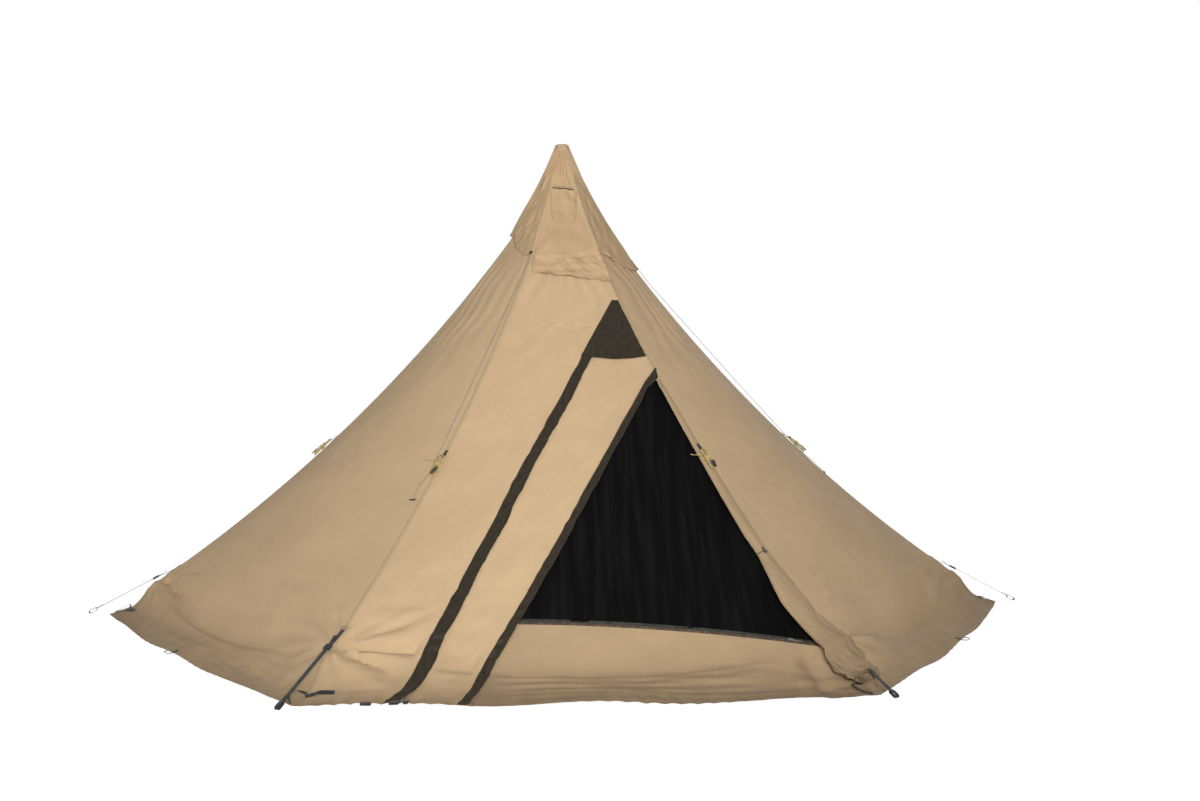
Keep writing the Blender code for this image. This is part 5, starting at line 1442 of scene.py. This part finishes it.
def build_door_tie():
    """A cord round the roll, knotted under its toggle."""
    centre, _, out, side = roll_frame(np.array([TIE_STATION]))
    half, thick = (float(v[0]) for v in roll_section(np.array([TIE_STATION])))
    centre, out, side = Vector(centre[0]), Vector(out[0]), Vector(side[0])
    reach = TIE_CORD / 2 + TIE_GAP
    points = []
    for k in range(TIE_POINTS + 1):
        a = math.radians(TIE_START + TIE_SWEEP * k / TIE_POINTS)
        points.append(centre + side * (half + reach) * math.cos(a) + out * (thick + reach) * math.sin(a))
    cord = cord_curve("door_tie_cord", points, TIE_CORD, BLACK_LINE)
    place_piece(cord)
    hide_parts("door_tie")


build_roll()
build_door_tie()


# Vent cap, its pocket and the vent net under it

CAP_COLUMNS = 372
CAP_ROWS = 96
POCKET = ((-0.066, 0.066), (2.060, 2.238))
LIP_STEP = 0.0050
LIP_RISE = 0.075
LIP_ARCH = 0.092
BAND_ANGLES = (243.0, 303.0)
BAND_SEAM = 256.0
CAP_SEAT = 0.0045
TURNED_IN = 0.0065
CAP_TABS = (0.050, 0.050, 0.050, 0.050, 0.018)
VENT_NET_COLUMNS = 120
VENT_NET_ROWS = 24
VENT_NET_DROP = 0.0962
VENT_NET_TOP = 0.0500


def cap_edge(angle):
    return NECK_HEIGHT - CAP_DROP + CAP_TILT * np.cos(np.radians(angle - CAP_TILT_ANGLE))


def cap_plain(angle, height):
    drop = APEX_HEIGHT - height
    radius = CAP_APEX_RADIUS + CAP_SLOPE * drop + CAP_FLARE * drop**2
    return polar(radius * mix(hexagon(angle), 1.0, CAP_ROUND), angle, height)


def cap_normal(angle, height):
    around = cap_plain(angle + 0.3, height) - cap_plain(angle - 0.3, height)
    return unit(np.cross(around, cap_plain(angle, height + 0.003) - cap_plain(angle, height - 0.003)))


def cap_lip(angle):
    """Edge of the cap's upper cloth: low at the three corners with cords and arched between them."""
    return cap_edge(angle) + LIP_RISE + LIP_ARCH * (1 - np.abs(np.cos(np.radians(1.5 * angle))))


def band_share(angle):
    """1 at the front, where a band shows under the lip, and 0 where the cloth is turned under."""
    low, high = BAND_ANGLES
    return smooth(angle, low - 3, low + 3) * (1 - smooth(angle, high - 3, high + 3))


def cap_skin(angle, height):
    """The cap with its sewn ridges, its lip, the band under it and its wrinkles."""
    angle, height = np.broadcast_arrays(np.asarray(angle, float), np.asarray(height, float))
    front = band_share(angle)
    lip = cap_lip(angle) + 0.003 * np.sin(np.radians(angle) * 17)
    under = (1 - front) * smooth(lip - height, 0.0, 0.006)
    height = height + 1.35 * under * np.maximum(lip - height, 0.0)
    point = cap_plain(angle, height)
    radius = reach_of(point)
    away = np.abs(np.radians((angle + 30) % 60 - 30)) * radius
    drop = APEX_HEIGHT - height
    above = height - cap_edge(angle)
    stand = 0.0016 * (1 - smooth(away, 0.006, 0.009))
    stand += 0.0020 * hump(away, 0.0, 0.02)
    free = smooth(away, 0.006, 0.05) * smooth(drop, 0.03, 0.2)
    spot = laid_flat(np.radians(angle) * 0.33, height)
    stand += free * ripples(spot, (0.0052, 0.20, 121), (0.0032, 0.075, 122))
    radial = np.sin(np.radians(angle) * 31 + 2 * waves(point, 0.3, 123))
    stand += 0.0024 * radial * hump(drop, 0.10, 0.12) * smooth(drop, 0.015, 0.05)
    over = smooth(height, lip - 0.0012, lip + 0.0012)
    stand += LIP_STEP * over * hump(np.maximum(height - lip, 0.0), 0.0, 0.16)
    stand += 0.0012 * over * (1 - smooth(height - lip, 0.014, 0.016))
    band = front * (1 - over) * smooth(lip - height, 0.0, 0.015)
    run = spot * np.array((0.8, 2.0, 1.0))
    stand += band * ripples(run, (0.0040, 0.060, 124), (0.0016, 0.028, 125))
    stand += 0.0014 * band * (1 - smooth(above, 0.018, 0.021))
    seam = hump(np.radians(angle - BAND_SEAM) * radius, 0.0, 0.0035)
    stand += 0.0022 * seam * band
    stand = stand - TURNED_IN * under
    point = point + cap_normal(angle, height) * stand[..., None]
    wall, _, wall_out, _ = wall_frame(angle, station_at(np.minimum(height, NECK_HEIGHT - 0.004), angle))
    wall = wall + wall_out * np.maximum(CAP_SEAT + stand, 0.003)[..., None]
    near = (1 - front) * (1 - smooth(height - lip, 0.01, 0.14))
    return point + (wall - point) * near[..., None]


def build_cap():
    angle = np.linspace(0.0, 360.0, CAP_COLUMNS + 1)[:-1][None, :]
    share = np.linspace(0.0, 1.0, CAP_ROWS + 1)[:, None]
    edge = cap_edge(angle) + 0.0025 * np.sin(np.radians(angle) * 19)
    height = APEX_HEIGHT + (edge - APEX_HEIGHT) * share
    angles = np.broadcast_to(angle, height.shape)
    points = cap_skin(angles, height)[:, ::-1]
    item = sheet_mesh("cap", points, CAP_CANVAS, thickness=0.0014, wrap=True)
    place_sheet(item, cap_plain(angles, height)[:, ::-1], "vent_cap", "vent_cap")


def cap_front(x, height):
    """The angle of a place on the cap's front, x metres right of its middle."""
    return 270 + np.degrees(np.arcsin(x / reach_of(cap_plain(270.0, height))))


def build_pocket():
    """A pocket with a rounded foot and an open, slightly standing mouth on the front of the cap."""
    (left, right), (low, high) = POCKET
    across = np.linspace(-1.0, 1.0, 41)[None, :]
    down = np.linspace(0.0, 1.0, 49)[:, None]
    corner = np.sqrt(np.clip(1 - np.clip((down - 0.74) / 0.26, 0, 1) ** 2, 0.0, 1.0))
    x = (left + right) / 2 + (right - left) / 2 * across * mix(0.62, 1.0, corner)
    z = high - (high - low) * down - 0.008 * across * (1 - down)
    angle = cap_front(x, z)
    base = cap_skin(angle, z)
    out = cap_normal(angle, z)
    inside = (1 - across**4) * np.sqrt(np.clip(1 - down**3, 0, 1))
    stand = 0.0016 + 0.0050 * inside * (0.6 + 0.4 * smooth(1 - down, 0.7, 1.0))
    stand += 0.0016 * inside * waves(base, 0.045, 131) + 0.0022 * smooth(down, 0.06, 0.0)
    item = sheet_mesh("cap_pocket", base + out * stand[..., None], CAP_CANVAS, thickness=0.0012)
    place_sheet(item, base, None, "vent_cap")


def build_pocket_slit():
    """The slit over the pocket, under the overhanging fold of its mouth; its dark strip is painted shade for
    the shadow there.
    """
    (left, right), (_, high) = POCKET
    x = np.linspace(left * 0.80, right * 0.86, 40)
    # The first strip is dark cloth laid in the slit to stand for its shadow, painted shade; the second is
    # the fold that overhangs it.
    for name, rise, width, stand, material in (("pocket_slit_shadow", 0.0040, 0.0115, 0.0024, BINDING),
                                               ("pocket_fold", 0.0125, 0.0090, 0.0052, CAP_CANVAS)):
        z = high + rise - 0.008 * x / right
        angle = cap_front(x, z)
        out = cap_normal(angle, z)
        gape = (1 - (x / right / 0.9) ** 4).clip(0.15, 1) * stand
        points = cap_skin(angle, z) + out * gape[:, None]
        down = list(unit(cap_plain(angle, z - 0.004) - cap_plain(angle, z + 0.004)))
        strip = ribbon(name, points, down, width, 0.0011, material)
        place_piece(strip, "vent_cap")


def build_cap_tabs():
    """Black webbing tabs that reinforce corners of the cap's edge."""
    for number, length in enumerate(CAP_TABS):
        angle = 60.0 * number
        lip = float(cap_lip(angle)) + 0.003
        heights = lip + np.linspace(length, 0.002, 12)
        places = cap_skin(angle, heights) + cap_normal(angle, heights) * 0.0020
        points = [Vector(p) for p in places]
        points.append(points[-1] * 2 - points[-2])
        turn = math.radians(angle)
        across = Vector((-math.sin(turn), math.cos(turn), 0))
        tab = ribbon(f"cap_tab_{number + 1}", points, across, 0.016, 0.0014, STRAP)
        place_piece(tab, "vent_cap")


def build_vent_net():
    """The net cone between the canvas's neck and the pole's top, which the cap hides."""
    angle = np.linspace(0.0, 360.0, VENT_NET_COLUMNS + 1)[:-1][None, :]
    share = np.linspace(0.0, 1.0, VENT_NET_ROWS + 1)[:, None]
    base = radius_at(angle, 0.0)
    top_height = APEX_HEIGHT - VENT_NET_DROP
    radius = base + (VENT_NET_TOP - base) * (1 - share)
    height = NECK_HEIGHT + 0.0014 + (top_height - NECK_HEIGHT) * (1 - share)
    slack = 0.006 * np.sin(math.pi * share) * (1 + 0.5 * np.sin(np.radians(angle) * 12))
    points = polar(radius - slack, angle, height)[:, ::-1]
    item = sheet_mesh("net_cone", points, NET, thickness=0.0008, wrap=True)
    place_sheet(item, points, "vent_net")


build_cap()
build_pocket()
build_pocket_slit()
build_cap_tabs()
build_vent_net()


# Corner tabs and buckles, peg straps and the peg loops on the hem

BUCKLE_BAR = 0.0035
BUCKLE_SLOT = 0.0024
# Ladder bars along the buckle, over and under the strap
BARS_OVER = ((-0.001, 0.006), (0.013, 0.017), (0.024, BUCKLE_LENGTH))
BARS_UNDER = ((-0.001, 0.011), (0.019, BUCKLE_LENGTH))
TAB_STATIONS = 0.0184
PATCH_WIDTH = 0.034
TIE_WIDTH = 0.010
SKIRT_END_POINTS = 40
# Loops under the hem: angle, width
HEM_LOOPS = ((330.0, 0.013), (30.0, 0.013), (90.0, 0.013), (150.0, 0.013), (210.0, 0.013), (246.5, 0.040),
             (249.2, 0.036), (250.4, 0.015))
# A loop's side view: way out from the hem, height
HEM_ROUTE = ((-0.022, 0.0035), (0.0, 0.0030), (0.014, 0.0005), (0.030, 0.0015), (0.040, 0.0045),
             (0.043, 0.0085), (0.038, 0.0125), (0.026, 0.0140), (0.012, 0.0105), (0.002, 0.0056),
             (-0.022, 0.0052))
# Loose webbing on the skirt: metres from the seam, station, height
SKIRT_TAB = ((0.002, 1.58, 0.0045), (0.022, 1.53, 0.0070), (0.046, 1.50, 0.0125), (0.072, 1.48, 0.0085),
             (0.098, 1.47, 0.0045))
SKIRT_TIE = ((-0.004, 1.50, 0.0040), (-0.034, 1.53, 0.0150), (-0.056, 1.62, 0.0240), (-0.060, 1.74, 0.0210),
             (-0.046, 1.88, 0.0120), (-0.020, 1.97, 0.0055))


def strap_line():
    """The top and the ground end of a corner strap, as (radius, height), and its direction."""
    radius, height = seam_profile(np.array(STRAP_TOP_STATION))
    top = Vector((float(radius) + 0.010, float(height) + 0.008))
    end_height = PEG_LOOP_LENGTH / 2 + PEG_LOOP_GAP / 2 + STRAP_GROUND_GAP
    end = Vector((KINK_RADIUS + SKIRT_WIDTH + PEG_REACH - PEG_LOOP_LENGTH, end_height))
    return top, end, (end - top).normalized()


def strap_frame(seam, distance):
    """A frame on the strap's line: x down the strap, z up off it."""
    top, _, line = strap_line()
    here = top + line * distance
    turn = Matrix.Rotation(math.radians(seam), 3, "Z")
    return frame_of(turn @ Vector((here.x, 0, here.y)), turn @ Vector((line.x, 0, line.y)),
                    turn @ Vector((-line.y, 0, line.x)))


def way_round(seam):
    """The level direction square to a seam."""
    return Matrix.Rotation(math.radians(seam), 3, "Z") @ Vector((0, 1, 0))


def block(name, boxes, place, bevel, material):
    """Bars of a moulding, each a box with bevelled edges, in one mesh: (low corner, high corner)."""
    mesh = bpy.data.meshes.new(name)
    points, faces = [], []
    for low, high in boxes:
        first = len(points)
        for k in range(8):
            points.append(place @ Vector([(low, high)[k >> axis & 1][axis] for axis in range(3)]))
        for face in ((0, 2, 3, 1), (4, 5, 7, 6), (0, 1, 5, 4), (2, 6, 7, 3), (0, 4, 6, 2), (1, 3, 7, 5)):
            faces.append(tuple(first + i for i in face))
    mesh.from_pydata([tuple(p) for p in points], [], faces)
    item = new_object(name, mesh, material)
    round_off = item.modifiers.new("round", "BEVEL")
    round_off.width = bevel
    round_off.segments = 3
    mesh.shade_smooth()
    mesh.set_sharp_from_angle(angle=math.radians(50))
    return item


def build_corner(number):
    """The ladder buckle, its webbing tab and the patch that holds the tab on the seam."""
    seam = 60.0 * number
    place = strap_frame(seam, BUCKLE_DISTANCE)
    half = BUCKLE_SLOT / 2
    side, rail = BUCKLE_WIDTH / 2, STRAP_WIDTH / 2 + 0.0005
    low, high = -half - BUCKLE_BAR, half + BUCKLE_BAR
    boxes = [((-0.001, s * (rail + side) / 2 - (side - rail) / 2, low),
              (BUCKLE_LENGTH, s * (rail + side) / 2 + (side - rail) / 2, high)) for s in (-1, 1)]
    boxes += [((start, -rail, half), (end, rail, high)) for start, end in BARS_OVER]
    boxes += [((start, -rail, low), (end, rail, -half)) for start, end in BARS_UNDER]
    buckle = block(f"ladder_buckle_{number + 1}", boxes, place, 0.0010, PLASTIC)
    rows = np.linspace(STRAP_TOP_STATION - TAB_STATIONS, STRAP_TOP_STATION, 8)
    points = [Vector(p) for p in skin(seam, rows) + wall_frame(seam, rows)[2] * 0.0018]
    loop_start = place @ Vector((0.0, 0, -0.0022))
    points = smooth_route([*points[::2], points[-1], points[-1].lerp(loop_start, 0.5), loop_start], 30)
    across = way_round(seam)
    tab = ribbon(f"corner_tab_{number + 1}", points, across, STRAP_WIDTH, WEBBING, STRAP)
    raised = [p + Vector((0, 0, 0.0012)) for p in points[:9]]
    patch = ribbon(f"corner_patch_{number + 1}", raised, across, PATCH_WIDTH, 0.0012, CANVAS)
    place_piece(buckle)
    place_piece(tab)
    place_piece(patch)
    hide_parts(f"corner_buckle_{number + 1}")


def strap_path():
    """Side view of a peg strap: its loose tail, the run down and the sewn loop for the peg."""
    top, end, _ = strap_line()
    length = (end - top).length
    start = BUCKLE_DISTANCE - STRAP_TAIL
    gap = PEG_LOOP_GAP / 2
    middle, tip = length + PEG_LOOP_LENGTH / 2, length + PEG_LOOP_LENGTH
    return [(start, 0.006), (start + 0.012, 0.0045), (start + 0.025, 0.0015), (BUCKLE_DISTANCE - 0.006, 0.0),
            (BUCKLE_DISTANCE + 0.10, 0.0), (length - 0.05, 0.0), (length, 0.0), (length + 0.010, -0.9 * gap),
            (middle, -gap), (tip - 0.008, -gap), (tip - 0.002, -0.55 * gap), (tip, 0.0),
            (tip - 0.002, 0.55 * gap), (tip - 0.008, gap), (middle, gap), (length + 0.012, 0.8 * gap),
            (length, 0.0022), (length - 0.030, 0.0021)]


def build_peg_strap(number):
    """A strap through its buckle, with its tail and its peg loop, on the body that slides."""
    seam = 60.0 * number
    node = f"peg_strap_{number + 1}"
    place = strap_frame(seam, 0.0)
    points = smooth_route([place @ Vector((x, 0, z)) for x, z in strap_path()], 150)
    strap = ribbon(f"strap_{number + 1}", points, way_round(seam), STRAP_WIDTH, WEBBING, STRAP)
    place_piece(strap, node)
    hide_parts(node)


def build_skirt_end(name, seam, route, width, turned=False):
    """Webbing that lies loosely on the skirt beside a corner. turned is for one that runs down it."""
    away, stations, lift = (np.array(column) for column in zip(*route))
    angles = angle_step(seam, stations, away)
    _, along, out, _ = wall_frame(angles, stations)
    points = smooth_route(skin(angles, stations) + out * lift[:, None], SKIRT_END_POINTS)
    sides = [Vector(along[i * len(route) // SKIRT_END_POINTS]) for i in range(SKIRT_END_POINTS)]
    if turned:
        sides = [Vector(out[0]).cross(s) for s in sides]
    end = ribbon(f"skirt_{name}_{int(seam / 60) + 1}", points, sides, width, WEBBING, STRAP)
    place_piece(end)


def build_hem_loop(number, angle, width):
    """A narrow webbing loop sewn under the hem, standing out for a peg."""
    hem = skin([angle], 2.0)[0]
    above = skin([angle], 1.9)[0]
    near = skin([angle - 1.0, angle + 1.0], 2.0)
    along = Vector(near[1] - near[0]).normalized()
    out = along.cross(Vector((0, 0, 1))).normalized()
    rise = Vector(above - hem)
    slope = rise.z / max(-rise.dot(out), 1e-4)
    route = [(x, z + max(-x, 0.0) * slope) for x, z in HEM_ROUTE]
    points = smooth_route([Vector(hem) + out * x + Vector((0, 0, z)) for x, z in route], 44)
    for point in points:
        point.z = max(point.z, 0.0012)
    place_piece(ribbon(f"hem_loop_{number + 1}", points, along, width, 0.0014, STRAP))


for number in range(6):
    build_corner(number)
    build_peg_strap(number)
    build_skirt_end("tab", 60.0 * number, SKIRT_TAB, STRAP_WIDTH)
    build_skirt_end("tie", 60.0 * number, SKIRT_TIE, TIE_WIDTH, turned=True)
for number, (angle, width) in enumerate(HEM_LOOPS):
    build_hem_loop(number, angle, width)


# Finishes of the model's own pieces that stay in view

KEPT_FINISHES = (
    (TAPE, "zip_long", "zip_door", "zip_net"),
    (SLIDER, "slider_long", "slider_door", "slider_net"),
    (PLASTIC, "crown_plate", "apex_ring", "pole_foot", "clamp_high", "clamp_low", "clamp_lever_high",
     "clamp_lever_low", "cap_cord_toggle_1", "cap_cord_toggle_2", "cap_cord_toggle_3", "door_tie_toggle"),
    (ALUMINIUM, "pole_top", "pole_upper", "pole_middle", "pole_lower"),
)
for finish, *nodes in KEPT_FINISHES:
    for node in nodes:
        for place in frame["nodes"][node].material_slots:
            place.material = finish


# Stage, lights and the closing lines

FLOOR_SIZE = 60
FLOOR_COLOUR = (0.86, 0.86, 0.86, 1.0)
SHADOW_SHARE = 0.22
FLOOR_GLOW = 1.22
INSIDE = (1.96, 2.04)
AMBIENT = 0.25
# Name, place, aim, size in metres, power in watts, spread in degrees
LAMPS = (
    ("key", (0.2, -9.0, 2.7), (0.1, 0, 1.6), 2.0, 122, 80.0),
    ("fill", (-7.6, -4.6, 2.0), (0, 0, 1.4), 2.4, 124, 180.0),
    ("back", (3.5, 8.0, 4.0), (0, 0, 1.0), 2.4, 150, 180.0),
)


def shown_ray(tree):
    """1 for a ray from the camera, straight or by way of metal or glass."""
    path = tree.nodes.new("ShaderNodeLightPath").outputs
    metal = add_node(tree, "Math", {0: path["Is Camera Ray"], 1: path["Is Glossy Ray"]}, operation="MAXIMUM")
    return add_node(tree, "Math", {0: metal, 1: path["Is Transmission Ray"]}, operation="MAXIMUM")


def build_stage():
    """A pale floor that glows towards the camera, except inside the tent."""
    bpy.ops.mesh.primitive_plane_add(size=FLOOR_SIZE)
    floor = bpy.context.object
    floor.name = "floor"
    material = bpy.data.materials.new("pale_floor")
    material.use_nodes = True
    tree = material.node_tree
    shader = tree.nodes["Principled BSDF"]
    shader.inputs["Base Color"].default_value = FLOOR_COLOUR
    shader.inputs["Roughness"].default_value = 0.9
    glow = add_node(tree, "Emission", {"Strength": FLOOR_GLOW})
    place = add_node(tree, "NewGeometry", {}, "Position")
    radius = add_node(tree, "VectorMath", {0: place}, "Value", operation="LENGTH")
    outside = add_node(tree, "MapRange", {"Value": radius, "From Min": INSIDE[0], "From Max": INSIDE[1]})
    shown = add_node(tree, "Math", {0: shown_ray(tree), 1: outside}, operation="MULTIPLY")
    seen = add_node(tree, "Math", {0: shown, 1: 1 - SHADOW_SHARE}, operation="MULTIPLY")
    surface = add_node(tree, "MixShader", {0: seen, 1: shader.outputs[0], 2: glow})
    tree.links.new(surface, tree.nodes["Material Output"].inputs["Surface"])
    floor.data.materials.append(material)


def build_world():
    """Even light from all round, and white towards the camera."""
    world = bpy.data.worlds.new("studio")
    bpy.context.scene.world = world
    world.use_nodes = True
    tree = world.node_tree
    background = tree.nodes["Background"]
    background.inputs["Color"].default_value = (1.0, 1.0, 1.0, 1.0)
    strength = add_node(tree, "Mix", {0: shown_ray(tree), 2: AMBIENT, 3: 1.0})
    tree.links.new(strength, background.inputs["Strength"])


def add_lamp(name, place, aim, size, power, spread):
    data = bpy.data.lights.new(name, "AREA")
    data.shape = "DISK"
    data.size = size
    data.energy = power
    data.spread = math.radians(spread)
    item = bpy.data.objects.new(name, data)
    bpy.context.scene.collection.objects.link(item)
    item.location = place
    item.rotation_euler = (Vector(aim) - Vector(place)).to_track_quat("-Z", "Y").to_euler()


build_stage()
build_world()
for lamp in LAMPS:
    add_lamp(*lamp)
bpy.context.scene.view_settings.view_transform = "Standard"
